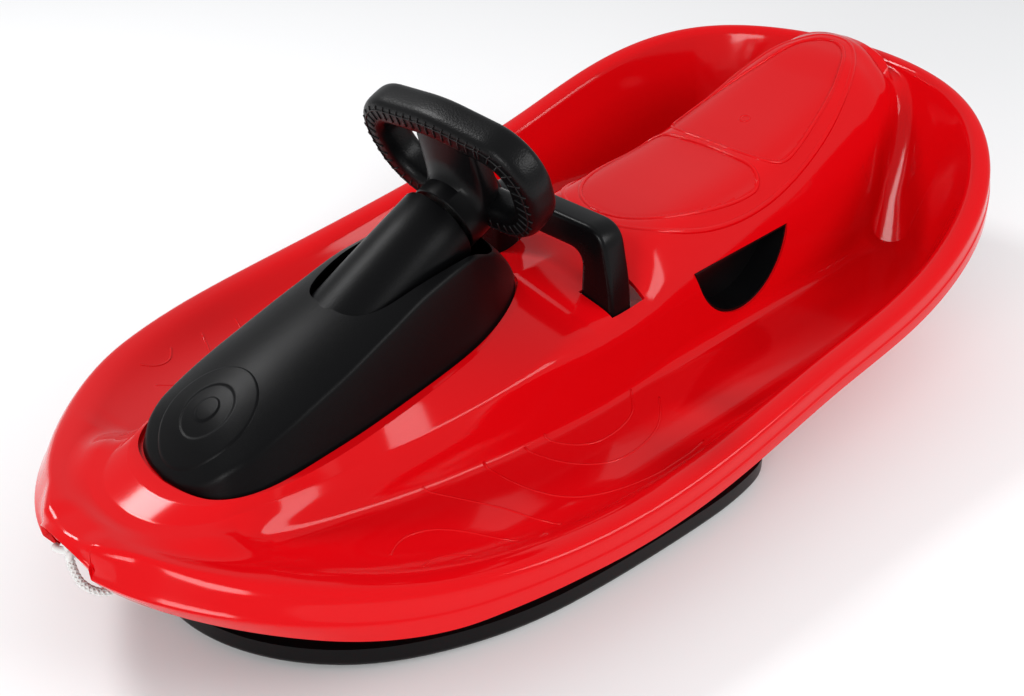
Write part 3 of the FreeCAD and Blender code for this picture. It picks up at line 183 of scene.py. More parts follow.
@dataclass(frozen=True)
class Finish:
    """How one kind of surface looks."""

    name: str
    colour: Colour
    roughness: float
    metallic: float = 0.0
    specular: float = 0.5
    drift: float = 0.06
    relief: Relief = Relief.NONE
    relief_scale: float = 900.0
    relief_depth: float = 0.0

    def material(self, effects: Effects) -> bpy.types.Material:
        """Makes the material of this finish.

        Args:
            effects: The node groups that finishes share.

        Returns:
            The new material.
        """
        made = bpy.data.materials.new(self.name)
        made.use_nodes = True
        nodes, links = made.node_tree.nodes, made.node_tree.links
        shader = nodes["Principled BSDF"]
        shader.inputs["Base Color"].default_value = (*self.colour, 1.0)
        shader.inputs["Metallic"].default_value = self.metallic
        shader.inputs["Specular IOR Level"].default_value = self.specular
        drift = nodes.new("ShaderNodeGroup")
        drift.node_tree = effects.drift
        drift.inputs["Roughness"].default_value = self.roughness
        drift.inputs["Amount"].default_value = self.drift
        links.new(drift.outputs["Roughness"], shader.inputs["Roughness"])
        if self.relief is not Relief.NONE:
            relief = nodes.new("ShaderNodeGroup")
            relief.node_tree = effects.grain if self.relief is Relief.GRAIN else effects.leather
            relief.inputs["Scale"].default_value = self.relief_scale
            bump = nodes.new("ShaderNodeBump")
            bump.inputs["Strength"].default_value = 1.0
            bump.inputs["Distance"].default_value = self.relief_depth
            links.new(relief.outputs["Height"], bump.inputs["Height"])
            links.new(bump.outputs["Normal"], shader.inputs["Normal"])
        return made


HULL_RED = Finish("hull_red_gloss", (0.64, 0.0015, 0.004), 0.1, specular=0.18, drift=0.03)
PAD_RED = Finish("pad_red_satin", (0.6, 0.0016, 0.004), 0.34, specular=0.2, drift=0.04)
COWL_BLACK = Finish("cowl_black_grain", (0.002, 0.002, 0.0023), 0.36, specular=0.1, relief=Relief.GRAIN,
                    relief_scale=1100.0, relief_depth=0.00012)
TRIM_BLACK = Finish("trim_black_satin", (0.0024, 0.0024, 0.0027), 0.34, specular=0.13, relief=Relief.GRAIN,
                    relief_scale=1500.0, relief_depth=0.00005)
LEVER_BLACK = Finish("lever_black_satin", (0.0024, 0.0024, 0.0027), 0.28, specular=0.14)
COVER_LEATHER = Finish("wheel_cover_leather", (0.0024, 0.0024, 0.0027), 0.34, specular=0.14,
                       relief=Relief.LEATHER, relief_scale=620.0, relief_depth=0.00012)
THREAD_BLACK = Finish("stitch_thread", (0.006, 0.006, 0.0065), 0.4, specular=0.2)
BUSH_GREY = Finish("bush_grey_plastic", (0.5, 0.5, 0.48), 0.45)
PLATED_STEEL = Finish("plated_steel", (0.58, 0.58, 0.57), 0.3, metallic=1.0)
CORD_WHITE = Finish("cord_white", (0.72, 0.72, 0.7), 0.75)

NODE_FINISHES: dict[Finish, list[str]] = {
    HULL_RED: ["hull_shell"],
    COWL_BLACK: ["column_cowl", "column_sleeve"],
    TRIM_BLACK: ["wheel_armature", "wheel_hub_cap", "front_ski", "ski_tiller", "kingpin_housing",
                 "left_grip_cup", "right_grip_cup"],
    LEVER_BLACK: ["brake_lever"],
    COVER_LEATHER: ["wheel_grip_cover"],
    BUSH_GREY: ["upper_shaft_bush", "lower_shaft_bush", "ski_bush", "thrust_washer"],
    PLATED_STEEL: ["cowl_screws", "sleeve_screws", "housing_screws", "tiller_screws", "kingpin",
                   "kingpin_washer", "kingpin_nut", "brake_axle", "axle_caps", "steering_shaft",
                   "shaft_retaining_ring", "steering_crank", "crank_pin", "wheel_bolt",
                   "brake_claws", "claw_rivets"],
    CORD_WHITE: ["tow_cord", "tow_knot"],
}


class Paintbox:
    """Materials of all finishes, each made once."""

    def __init__(self) -> None:
        """Makes the shared effects."""
        self.effects = Effects(drift_group(), grain_group(), leather_group())
        self.made: dict[str, bpy.types.Material] = {}

    def material(self, finish: Finish) -> bpy.types.Material:
        """Finds or makes the material of a finish.

        Args:
            finish: The finish that is wanted.

        Returns:
            Its material.
        """
        if finish.name not in self.made:
            self.made[finish.name] = finish.material(self.effects)
        return self.made[finish.name]

    def paint(self, piece: bpy.types.Object, finish: Finish) -> None:
        """Gives a piece one finish all over.

        Args:
            piece: The piece to paint.
            finish: The finish it gets.
        """
        if not piece.data.materials:
            piece.data.materials.append(None)
        for place in piece.material_slots:
            place.link = "OBJECT"
            place.material = self.material(finish)


# Meshes


def mesh_piece(name: str, points: np.ndarray, faces: list[Face], smooth: bool = True) -> bpy.types.Object:
    """Makes a mesh object.

    Args:
        name: Name of the piece.
        points: Its points, in metres.
        faces: Its faces, as tuples of point numbers.
        smooth: Whether its faces are shaded smooth.

    Returns:
        The new object, in the scene.
    """
    mesh = bpy.data.meshes.new(name)
    mesh.from_pydata([tuple(map(float, p)) for p in points], [], faces)
    mesh.validate()
    mesh.polygons.foreach_set("use_smooth", [smooth] * len(mesh.polygons))
    piece = bpy.data.objects.new(name, mesh)
    bpy.context.scene.collection.objects.link(piece)
    return piece


def tube_faces(rings: int, sides: int, closed: bool = False) -> list[Face]:
    """Lists the faces of a tube made of rings of points.

    Args:
        rings: Number of rings.
        sides: Points in each ring.
        closed: Whether the last ring joins the first one.

    Returns:
        Faces as tuples of point numbers, with end caps unless closed.
    """
    faces: list[Face] = []
    for r in range(rings if closed else rings - 1):
        here = r * sides
        there = (r + 1) % rings * sides
        for s in range(sides):
            t = (s + 1) % sides
            faces.append((here + s, here + t, there + t, there + s))
    if not closed:
        faces.append(tuple(reversed(range(sides))))
        faces.append(tuple((rings - 1) * sides + s for s in range(sides)))
    return faces


def carried_frames(line: np.ndarray) -> tuple[np.ndarray, np.ndarray]:
    """Carries a cross direction along a line without twist.

    Args:
        line: Points along the line.

    Returns:
        Two unit directions across the line at each point.
    """
    ahead = np.gradient(line, axis=0)
    ahead /= np.linalg.norm(ahead, axis=1)[:, None]
    start = np.array((0.0, 0.0, 1.0)) if abs(ahead[0][2]) < 0.9 else np.array((1.0, 0.0, 0.0))
    across = [start - ahead[0] * start.dot(ahead[0])]
    for t in ahead[1:]:
        across.append(across[-1] - t * across[-1].dot(t))
        across[-1] = across[-1] / np.linalg.norm(across[-1])
    across[0] = across[0] / np.linalg.norm(across[0])
    side = np.array(across)
    return side, np.cross(ahead, side)


def round_tube(line: np.ndarray, radius: float, sides: int, closed: bool = False) -> Tube:
    """Makes the points and faces of a round tube along a line.

    Args:
        line: Points along its middle.
        radius: Its radius.
        sides: Points round it.
        closed: Whether its end joins its start.

    Returns:
        Points and faces.
    """
    side, up = carried_frames(line)
    turns = np.linspace(0, 2 * math.pi, sides, endpoint=False)
    ring = side[:, None, :] * np.cos(turns)[None, :, None] + up[:, None, :] * np.sin(turns)[None, :, None]
    points = (line[:, None, :] + radius * ring).reshape(-1, 3)
    return points, tube_faces(len(line), sides, closed)


def bundle(name: str, tubes: list[Tube]) -> bpy.types.Object:
    """Makes one piece of several tubes.

    Args:
        name: Name of the piece.
        tubes: Points and faces of each tube.

    Returns:
        The piece.
    """
    faces: list[Face] = []
    first = 0
    for points, rings in tubes:
        faces += [tuple(first + n for n in face) for face in rings]
        first += len(points)
    return mesh_piece(name, np.concatenate([points for points, _ in tubes]), faces)


def weld(piece: bpy.types.Object, distance: float, open_skin: bool = False) -> None:
    """Joins points that lie together, drops faces that vanish and turns all faces outwards.

    Args:
        piece: The mesh to mend.
        distance: How near points have to be.
        open_skin: Whether the piece is an open skin, whose outer side looks up.
    """
    work = bmesh.new()
    work.from_mesh(piece.data)
    bmesh.ops.remove_doubles(work, verts=work.verts[:], dist=distance)
    bmesh.ops.dissolve_degenerate(work, edges=work.edges[:], dist=distance / 4)
    bmesh.ops.recalc_face_normals(work, faces=work.faces[:])
    if open_skin and sum(f.normal.z * f.calc_area() for f in work.faces) < 0:
        bmesh.ops.reverse_faces(work, faces=work.faces[:])
    work.to_mesh(piece.data)
    work.free()


def mirrored_skin(name: str, left: np.ndarray, near: float, left_turned: bool = False) -> bpy.types.Object:
    """Makes an open skin of a grid of points and its mirror image across the X axis.

    Args:
        name: Name of the piece.
        left: Points of the left half by station and row, in millimetres.
        near: How near points have to be to be joined, in metres.
        left_turned: Whether the left half's faces are listed in reverse, instead of the right half's.

    Returns:
        The skin, with its outer side up.
    """
    stations, rows, _ = left.shape
    right = left * np.array((1.0, -1.0, 1.0))
    points = np.concatenate([left.reshape(-1, 3), right.reshape(-1, 3)]) * MM
    faces: list[Face] = []
    for base, turned in ((0, left_turned), (stations * rows, not left_turned)):
        for s in range(stations - 1):
            for r in range(rows - 1):
                a = base + s * rows + r
                quad = (a, a + rows, a + rows + 1, a + 1)
                faces.append(quad[::-1] if turned else quad)
    skin = mesh_piece(name, points, faces)
    weld(skin, near, open_skin=True)
    return skin


def settle(piece: bpy.types.Object) -> None:
    """Turns a piece's modifiers into plain mesh.

    Args:
        piece: The piece to settle.
    """
    graph = bpy.context.evaluated_depsgraph_get()
    mesh = bpy.data.meshes.new_from_object(piece.evaluated_get(graph))
    mesh.name = piece.name
    piece.modifiers.clear()
    piece.data = mesh


def thicken(piece: bpy.types.Object, wall: float) -> None:
    """Gives a skin its wall, inwards from its outer side.

    Args:
        piece: The skin.
        wall: Thickness of the wall.
    """
    walled = piece.modifiers.new("wall", "SOLIDIFY")
    walled.thickness = wall
    walled.offset = -1.0
    walled.use_rim = True
    settle(piece)


def sharpen(piece: bpy.types.Object, degrees: float) -> None:
    """Shades a piece smooth but for its sharp edges.

    Args:
        piece: The piece to shade.
        degrees: Edges that turn by more than this stay sharp.
    """
    piece.data.polygons.foreach_set("use_smooth", [True] * len(piece.data.polygons))
    piece.data.set_sharp_from_angle(angle=math.radians(degrees))


def prism(name: str, outline: np.ndarray, push: Point) -> bpy.types.Object:
    """Pushes a flat outline into a solid.

    Args:
        name: Name of the piece.
        outline: Points round the outline.
        push: How far and which way it is pushed.

    Returns:
        The solid.
    """
    points = np.concatenate([outline, outline + np.array(push)])
    piece = mesh_piece(name, points, tube_faces(2, len(outline)), smooth=False)
    weld(piece, 1e-7)
    return piece


def join(pieces: list[bpy.types.Object]) -> bpy.types.Object:
    """Puts the meshes of several pieces into the first one.

    Args:
        pieces: The pieces to join.

    Returns:
        The first piece.
    """
    work = bmesh.new()
    for piece in pieces:
        work.from_mesh(piece.data)
    work.to_mesh(pieces[0].data)
    work.free()
    for piece in pieces[1:]:
        bpy.data.objects.remove(piece)
    return pieces[0]


def laid(tree: BVHTree, line: np.ndarray, lift: float) -> np.ndarray:
    """Lays a plan line on a skin.

    Args:
        tree: The skin.
        line: Points of the line on the plan, in millimetres.
        lift: How far above the skin it lies, in millimetres.

    Returns:
        Points of the line, in metres.
    """
    down = Vector((0.0, 0.0, -1.0))
    heights = [tree.ray_cast(Vector((x * MM, y * MM, OVER_ALL)), down)[0].z for x, y in line]
    return np.column_stack([line * MM, np.array(heights) + lift * MM])


def cut(piece: bpy.types.Object, cutters: list[bpy.types.Object]) -> None:
    """Cuts solids out of a piece.

    Args:
        piece: The piece to cut.
        cutters: The solids. They are used up.
    """
    tool = join(cutters)
    taken = piece.modifiers.new("cut", "BOOLEAN")
    taken.operation = "DIFFERENCE"
    taken.solver = "MANIFOLD"
    taken.object = tool
    settle(piece)
    bpy.data.objects.remove(tool)


# Curves


def natural(knots: Knots, at: np.ndarray) -> np.ndarray:
    """Reads a natural cubic through knots.

    Args:
        knots: Places and values, in any order.
        at: Places to read.

    Returns:
        Values at those places.
    """
    table = np.array(sorted(knots))
    x, y = table[:, 0], table[:, 1]
    h = np.diff(x)
    n = len(x)
    a, b = np.eye(n), np.zeros(n)
    for i in range(1, n - 1):
        a[i, i - 1:i + 2] = h[i - 1], 2 * (h[i - 1] + h[i]), h[i]
        b[i] = 6 * ((y[i + 1] - y[i]) / h[i] - (y[i] - y[i - 1]) / h[i - 1])
    m = np.linalg.solve(a, b)
    i = np.clip(np.searchsorted(x, at) - 1, 0, n - 2)
    left, right = at - x[i], x[i + 1] - at
    bent = m[i] * right ** 3 + m[i + 1] * left ** 3
    straight = (y[i] / h[i] - m[i] * h[i] / 6) * right + (y[i + 1] / h[i] - m[i + 1] * h[i] / 6) * left
    return bent / (6 * h[i]) + straight


def gentle(knots: Knots, at: np.ndarray) -> np.ndarray:
    """Reads a smooth curve through knots that never overshoots them.

    Args:
        knots: Places and values, in any order.
        at: Places to read. Beyond the knots the end values hold.

    Returns:
        Values at those places.
    """
    table = np.array(sorted(knots))
    x, y = table[:, 0], table[:, 1]
    h, d = np.diff(x), np.diff(y) / np.diff(x)
    slope = np.zeros(len(x))
    same = d[:-1] * d[1:] > 0
    w1, w2 = 2 * h[1:] + h[:-1], h[1:] + 2 * h[:-1]
    safe = np.where(same, d[:-1], 1.0), np.where(same, d[1:], 1.0)
    slope[1:-1] = np.where(same, (w1 + w2) / (w1 / safe[0] + w2 / safe[1]), 0.0)
    slope[0], slope[-1] = d[0], d[-1]
    at = np.clip(at, x[0], x[-1])
    i = np.clip(np.searchsorted(x, at) - 1, 0, len(x) - 2)
    t = (at - x[i]) / h[i]
    rise = y[i] * (1 + 2 * t) * (1 - t) ** 2 + y[i + 1] * t ** 2 * (3 - 2 * t)
    return rise + h[i] * (slope[i] * t * (1 - t) ** 2 - slope[i + 1] * t ** 2 * (1 - t))


def closed_half(half: Knots, count: int = 4000) -> np.ndarray:
    """Draws half of a closed smooth outline that mirrors across the X axis.

    Args:
        half: Knots from the nose round to the tail.
        count: Number of points to return.

    Returns:
        Points from the first knot to the last one.
    """
    points = np.array([*half, *((x, -y) for x, y in reversed(half[1:-1]))])
    n = len(points)
    h = np.linalg.norm(np.roll(points, -1, 0) - points, axis=1)
    a, b = np.zeros((n, n)), np.zeros((n, 2))
    for i in range(n):
        before, after = (i - 1) % n, (i + 1) % n
        a[i, before] += h[before]
        a[i, i] += 2 * (h[before] + h[i])
        a[i, after] += h[i]
        b[i] = 6 * ((points[after] - points[i]) / h[i] - (points[i] - points[before]) / h[before])
    m = np.linalg.solve(a, b)
    start = np.concatenate(([0.0], np.cumsum(h)))
    at = np.linspace(0, start[len(half) - 1], count)
    i = np.clip(np.searchsorted(start, at, side="right") - 1, 0, len(half) - 2)
    j = (i + 1) % n
    left, right, step = (at - start[i])[:, None], (start[i + 1] - at)[:, None], h[i][:, None]
    bent = m[i] * right ** 3 + m[j] * left ** 3
    straight = (points[i] / step - m[i] * step / 6) * right + (points[j] / step - m[j] * step / 6) * left
    return bent / (6 * step) + straight


def run_length(line: np.ndarray) -> np.ndarray:
    """Measures along a line.

    Args:
        line: Points of the line.

    Returns:
        Distance from the first point, at each point.
    """
    return np.concatenate(([0.0], np.cumsum(np.linalg.norm(np.diff(line, axis=0), axis=1))))


def read_line(line: np.ndarray, along: np.ndarray, at: np.ndarray) -> np.ndarray:
    """Reads points of a line at given distances along it.

    Args:
        line: Points of the line.
        along: Distance along it at each of them.
        at: Distances to read.

    Returns:
        Points at those distances.
    """
    return np.stack([np.interp(at, along, column) for column in line.T], axis=1)


def smooth_line(knots: Knots, count: int) -> np.ndarray:
    """Draws a smooth line through knots.

    Args:
        knots: Points that it passes.
        count: Number of points to return.

    Returns:
        Points from the first knot to the last one.
    """
    spots = np.array(knots, dtype=float)
    along = run_length(spots)
    at = np.linspace(0, along[-1], count)
    return np.stack([natural(list(zip(along, column)), at) for column in spots.T], axis=1)


def soft_bend(start: np.ndarray, corner: np.ndarray, stop: np.ndarray, share: float) -> np.ndarray:
    """Finds a point of the curve that rounds off a corner.

    Args:
        start: Where the curve starts.
        corner: The corner.
        stop: Where the curve ends.
        share: Place along the curve, from 0 to 1.

    Returns:
        The point there.
    """
    rest = 1 - share
    return rest ** 2 * start + 2 * share * rest * corner + share * share * stop


def ramp(value: np.ndarray, low: float, high: float) -> np.ndarray:
    """Rises smoothly from 0 at one value to 1 at another.

    Args:
        value: Values to look at.
        low: Where the rise starts.
        high: Where it ends.

    Returns:
        Shares from 0 to 1.
    """
    t = np.clip((value - low) / (high - low), 0.0, 1.0)
    return t * t * (3 - 2 * t)


def inside_depth(x: np.ndarray, y: np.ndarray, half: Knots) -> np.ndarray:
    """Measures how far points lie inside an outline that mirrors across the X axis.

    Args:
        x: Places along the X axis.
        y: Places across it, not negative.
        half: The outline's half from its front to its rear.

    Returns:
        Distance to the outline, positive inside and negative outside.
    """
    line = np.array(half)
    order = np.argsort(line[:, 0])
    wide = np.interp(x, line[order, 0], line[order, 1])
    within = (y < wide) & (x < line[:, 0].max()) & (x > line[:, 0].min())
    return np.where(within, 1.0, -1.0) * line_distance(x, y, half)


def line_distance(x: np.ndarray, y: np.ndarray, line: Knots) -> np.ndarray:
    """Measures how far points lie from a smooth line through knots.

    Args:
        x: Places along the X axis.
        y: Places across it.
        line: Knots of the line.

    Returns:
        The distances.
    """
    smooth = smooth_line(line, 60)
    nearest = np.full(x.shape, 1e9)
    for a, b in zip(smooth[:-1], smooth[1:]):
        step = b - a
        t = np.clip(((x - a[0]) * step[0] + (y - a[1]) * step[1]) / step.dot(step), 0.0, 1.0)
        nearest = np.minimum(nearest, np.hypot(x - a[0] - t * step[0], y - a[1] - t * step[1]))
    return nearest


# Sub-assemblies


@dataclass
class TowLoop:
    """Short braided loop in the nose notch, with its knot and cut tail."""

    body: Body = Body.SLED
    radius: float = 0.003
    strand_radius: float = 0.00085
    strands: int = 8
    pitch: float = 0.016
    braid_step: float = 0.0012
    weave: float = 0.00022
    length: float = 0.144
    knot_middle: Point = (0.511, 0.0012, 0.1246)
    knot_radius: float = 0.0042
    knot_shares: Point = (0.62, 0.72, 0.75)
    knot_skew: float = 1.1
    tail_end: Point = (0.512, -0.025, 0.114)
    tail_sag: Point = (0.004, 0.0, 0.002)
    route: tuple[Point, ...] = (
        (0.5146, 0.002, 0.1196), (0.5156, 0.006, 0.1065), (0.5108, 0.012, 0.0946),
        (0.5006, 0.0168, 0.0866), (0.488, 0.0176, 0.0838), (0.4764, 0.014, 0.0874),
        (0.4689, 0.0074, 0.0966), (0.4672, 0.0002, 0.1086), (0.4718, -0.0042, 0.1202),
        (0.4816, -0.0048, 0.1284), (0.4942, -0.0026, 0.1318), (0.5064, 0.0006, 0.1292),
    )

    def build(self) -> list[bpy.types.Object]:
        """Makes the loop's core, its braid and its knot.

        Returns:
            The core, the braid and the knot.
        """
        core = self.core()
        return [core, self.braid(self.middle_line(core)), self.knot()]

    def core(self) -> bpy.types.Object:
        """Makes the cord as a curve through its route.

        Returns:
            The curve object.
        """
        curve = bpy.data.curves.new("tow_loop", "CURVE")
        curve.dimensions = "3D"
        curve.resolution_u = 8
        curve.bevel_depth = self.radius - 0.8 * self.strand_radius
        curve.bevel_resolution = 3
        curve.use_fill_caps = True
        spline = curve.splines.new("NURBS")
        spline.points.add(len(self.route) - 1)
        for place, point in zip(self.route, spline.points):
            point.co = (*place, 1.0)
        spline.order_u = 3
        spline.use_endpoint_u = True
        piece = bpy.data.objects.new("tow_loop", curve)
        bpy.context.scene.collection.objects.link(piece)
        return piece

    def middle_line(self, core: bpy.types.Object) -> np.ndarray:
        """Reads the points of the cord's middle line.

        Args:
            core: The curve object.

        Returns:
            Points along the curve.
        """
        bare = core.copy()
        bare.data = core.data.copy()
        bare.data.bevel_depth = 0.0
        mesh = bpy.data.meshes.new_from_object(bare)
        line = np.array([tuple(v.co) for v in mesh.vertices])
        bpy.data.meshes.remove(mesh)
        bare_curve = bare.data
        bpy.data.objects.remove(bare)
        bpy.data.curves.remove(bare_curve)
        return line

    def braid(self, line: np.ndarray) -> bpy.types.Object:
        """Winds the strands of the braid round the cord.

        Args:
            line: Points along the cord's middle.

        Returns:
            One mesh with all strands.
        """
        along = run_length(line)
        fine = np.linspace(0, along[-1], int(along[-1] / self.braid_step))
        middle = read_line(line, along, fine)
        side, up = carried_frames(middle)
        tubes = []
        for strand in range(self.strands):
            way = 1 if strand % 2 else -1
            turn = way * 2 * math.pi * fine / self.pitch + 2 * math.pi * strand / self.strands
            weave = self.weave * way * np.cos(turn * self.strands / 2)
            reach = (self.radius - 0.75 * self.strand_radius + weave)[:, None]
            path = middle + reach * (side * np.cos(turn)[:, None] + up * np.sin(turn)[:, None])
            tubes.append(round_tube(path, self.strand_radius, 5))
        return bundle("tow_loop_braid", tubes)

    def knot(self) -> bpy.types.Object:
        """Ties the knot and lays its cut tail.

        Returns:
            One mesh with the knot and the tail.
        """
        turns = np.linspace(0, 2 * math.pi, 61)[:-1]
        middle = np.array(self.knot_middle)
        wide, deep, high = (self.knot_radius * share for share in self.knot_shares)
        wound = np.stack([
            wide * (np.sin(turns) + self.knot_skew * np.sin(2 * turns)),
            deep * (np.cos(turns) - self.knot_skew * np.cos(2 * turns)),
            -high * np.sin(3 * turns),
        ], axis=1) + middle
        share = np.linspace(0, 1, 12)[:, None]
        tail = middle + share * (np.array(self.tail_end) - middle)
        tail = tail + np.sin(share * math.pi) * np.array(self.tail_sag)
        wound_tube = round_tube(wound, self.radius * 0.9, 12, closed=True)
        return bundle("tow_loop_knot", [wound_tube, round_tube(tail, self.radius * 0.95, 14)])

    def dress(self, pieces: list[bpy.types.Object], paints: Paintbox) -> None:
        """Paints the loop and ties it to the sled.

        Args:
            pieces: The core, the braid and the knot.
            paints: The materials.
        """
        for piece in pieces:
            paints.paint(piece, CORD_WHITE)
            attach(piece, self.body.value)
        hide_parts("tow_cord")
        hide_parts("tow_knot")


@dataclass
class Hull:
    """Red moulded hull: rim, footwells, tunnel, seat and keels. Its sizes are in millimetres.

    A span says where along or across the hull a change starts and ends. Plan lines are given by places
    along and across, heights by places along and heights. A bead is given by its radius and its lift over
    the skin.
    """

    body: Body = Body.SLED
    wall: float = 3.6
    flange: float = 44.0
    flare: float = 4.0
    nose_roll: float = 9.0
    ledge: float = 22.0
    floor_inset: float = 54.0
    floor_under_rim: float = 8.0
    deck: float = 141.0
    lip: float = 3.0
    shelf_gap: float = 0.6
    rim_step: float = 3.3
    notch_step: float = 2.2
    notch_reach: float = 46.0
    notch_half: float = 34.0
    notch_top: float = 139.0
    notch_arch: float = 42.5
    nose_span: tuple = (330.0, 500.0)
    tail_span: tuple = (380.0, 500.0)
    deck_span: tuple = (398.0, 446.0)
    dimple_span: tuple = (-40.0, -14.0)
    beside_notch: tuple = (26.0, 76.0)
    flat_steps: tuple = (2, 1, 3, 2, 6, 40, 4, 5)
    turn_steps: tuple = (0, 2, 2, 9, 6, 9, 7, 5, 7)
    crown_steps: int = 37
    corner_share: float = 0.46
    cowl_rear: float = 52.0
    cowl_front: float = 430.0
    shelf_heights: tuple = (164.0, 144.0)
    seat_front: float = -40.0
    pad_sunk: float = 0.9
    seam_sunk: float = 1.0
    pad_finish_in: float = 2.5
    pad_finish_above: float = 168.0
    pad_bead: tuple = (2.2, -0.7)
    edge_bead: tuple = (3.6, -2.5)
    mark_bead: tuple = (1.0, -0.3)
    ripple_bead: tuple = (1.3, -0.7)
    ripple_climb: float = 6.0
    gate_mark: tuple = (-303.0, 5.5)
    cup_x: float = -173.0
    cup_top: float = 147.2
    cup_half: float = 75.2
    cup_drop: float = 64.2
    cup_inner: float = 70.0
    cup_reach: float = 60.0
    slot: tuple = (-28.6, 17.0, 51.5, 93.5)
    slot_low: float = 120.0
    slot_tall: float = 120.0
    keel: tuple = (-410.0, -160.0, 68.0, 34.0)
    keel_spread: float = 300.0
    keel_width: float = 16.0
    rim: Knots = ((520, 0), (422.2, 172.5), (287, 245.6), (109.2, 273.2), (-81.1, 274.6), (-256.9, 276),
                  (-369.2, 250.6), (-458.1, 178.6), (-520, 0))
    foot_marks: tuple = (405, 283, 109.2, -81.1, -256.9, -352, -430)
    sheer: Knots = ((582.4, 159.5), (520, 149), (422.2, 131.9), (287, 119.9), (109.2, 119), (-81.1, 136),
                    (-256.9, 164), (-369.2, 205), (-458.1, 236), (-520, 244), (-582.4, 246.5))
    flange_tall: Knots = ((540, 44), (420, 44), (340, 39), (290, 33), (230, 29), (100, 28), (-80, 28),
                          (-250, 30), (-370, 36), (-460, 42), (-540, 44))
    floor: Knots = ((-582, 68), (-364, 68), (-208, 68.4), (0, 73.7), (150.8, 85.8), (249.6, 97.2),
                    (338, 110.1), (400.4, 122.3), (431.6, 131.2), (478.4, 153), (582, 205.7))
    foot: Knots = ((481, 0), (477.5, 27), (467, 50), (452, 70), (438, 81), (424, 88), (393, 94.5),
                   (342, 100.5), (268, 109), (205, 114), (162, 117), (114, 118.5), (45, 117.5), (0, 115),
                   (-62, 112.5), (-140, 112), (-230, 112), (-300, 113), (-390, 111.5), (-440, 105),
                   (-468, 94), (-482, 74), (-488, 45), (-490, 0))
    low_crease: Knots = ((475.5, 0), (472, 25), (461, 47.5), (445, 65), (424, 77), (385, 86), (352, 90.5),
                         (279, 99.5), (218, 104.5), (150, 108.5), (103, 110.5), (45, 111), (0, 110),
                         (-62, 108), (-230, 107.5), (-390, 106.5), (-440, 99.5), (-464, 86), (-477, 66),
                         (-483, 38), (-485, 0))
    low_crease_z: Knots = ((480, 140.4), (450, 139.4), (424, 136), (375, 131), (325, 127), (230, 121),
                           (150, 116), (103, 111), (0, 105), (-62, 104), (-230, 106), (-390, 118),
                           (-440, 142), (-470, 200), (-485, 240))
    shoulder: Knots = ((468.5, 0), (465.5, 24), (454, 45.5), (438, 60), (410, 71), (364, 80.5), (330, 85.5),
                       (293, 89.5), (246, 94.5), (192, 98.5), (150, 101.5), (103, 104.5), (45, 105.5),
                       (0, 104), (-30, 102.5), (-62, 101.5), (-140, 101), (-230, 100.5), (-300, 99),
                       (-390, 95), (-440, 86), (-460, 74), (-473, 54), (-479, 29), (-481, 0))
    shoulder_z: Knots = ((470, 141.2), (440, 141), (410, 141.5), (364, 141), (330, 140), (246, 139),
                         (192, 140.5), (150, 143.5), (103, 147), (45, 148), (0, 147), (-30, 147), (-62, 149),
                         (-140, 153), (-230, 159), (-300, 172), (-390, 194), (-440, 222), (-470, 239),
                         (-485, 249))
    collar: Knots = ((446, 0), (444, 19), (436, 40), (423, 56), (400, 68.5), (376, 76), (345, 80.5),
                     (324, 81.5), (282, 80), (235, 76), (200, 71), (150, 62), (115, 51), (85, 38), (63, 23),
                     (50, 10), (47, 0))
    lip_line: Knots = ((433, 0), (430, 24.5), (421, 48.5), (407.5, 62), (385, 71.2), (340, 74.2), (300, 73.6),
                       (250, 70.2), (200, 65.2), (150, 57.2), (115, 46.2), (85, 32), (62, 17), (52.5, 7.5),
                       (49.5, 0))
    crown: Knots = ((60, 166.5), (47, 167), (20, 166.5), (0, 166.5), (-25, 170.5), (-45, 181), (-62, 188),
                    (-100, 192), (-140, 194.5), (-230, 201), (-300, 215), (-390, 240), (-440, 259),
                    (-470, 263), (-490, 258))
    front_pad: Knots = ((-70, 0), (-74, 22), (-86, 40), (-110, 56), (-143, 67), (-180, 73), (-212, 75),
                        (-230, 72), (-238, 62), (-241, 40), (-243, 0))
    rear_pad: Knots = ((-250, 0), (-251, 40), (-256, 58), (-270, 69), (-290, 70.5), (-336, 63), (-390, 50),
                       (-422, 38), (-446, 24), (-456, 10), (-458, 0))
    seat_edge: Knots = ((-60, 0), (-62, 28), (-76, 54), (-110, 72), (-165, 83), (-240, 85), (-300, 81),
                        (-390, 63), (-440, 41), (-464, 18), (-468, 0))
    ripples: tuple[Knots, ...] = (
        ((13, 116), (36, 138), (72, 150), (108, 147), (127, 128), (134, 104)),
        ((0, 140), (36, 168), (78, 180), (118, 176), (146, 150), (158, 104)),
        ((30, 214), (77, 222), (140, 211), (182, 186), (198, 150), (201, 108)),
        ((265, 108), (246, 140), (232, 165), (220, 200), (215, 226)),
        ((342, 158), (324, 148), (302, 149), (281, 164), (264, 194), (256, 220)),
        ((342, 192), (326, 184), (311, 186), (299, 199), (290, 218)),
    )

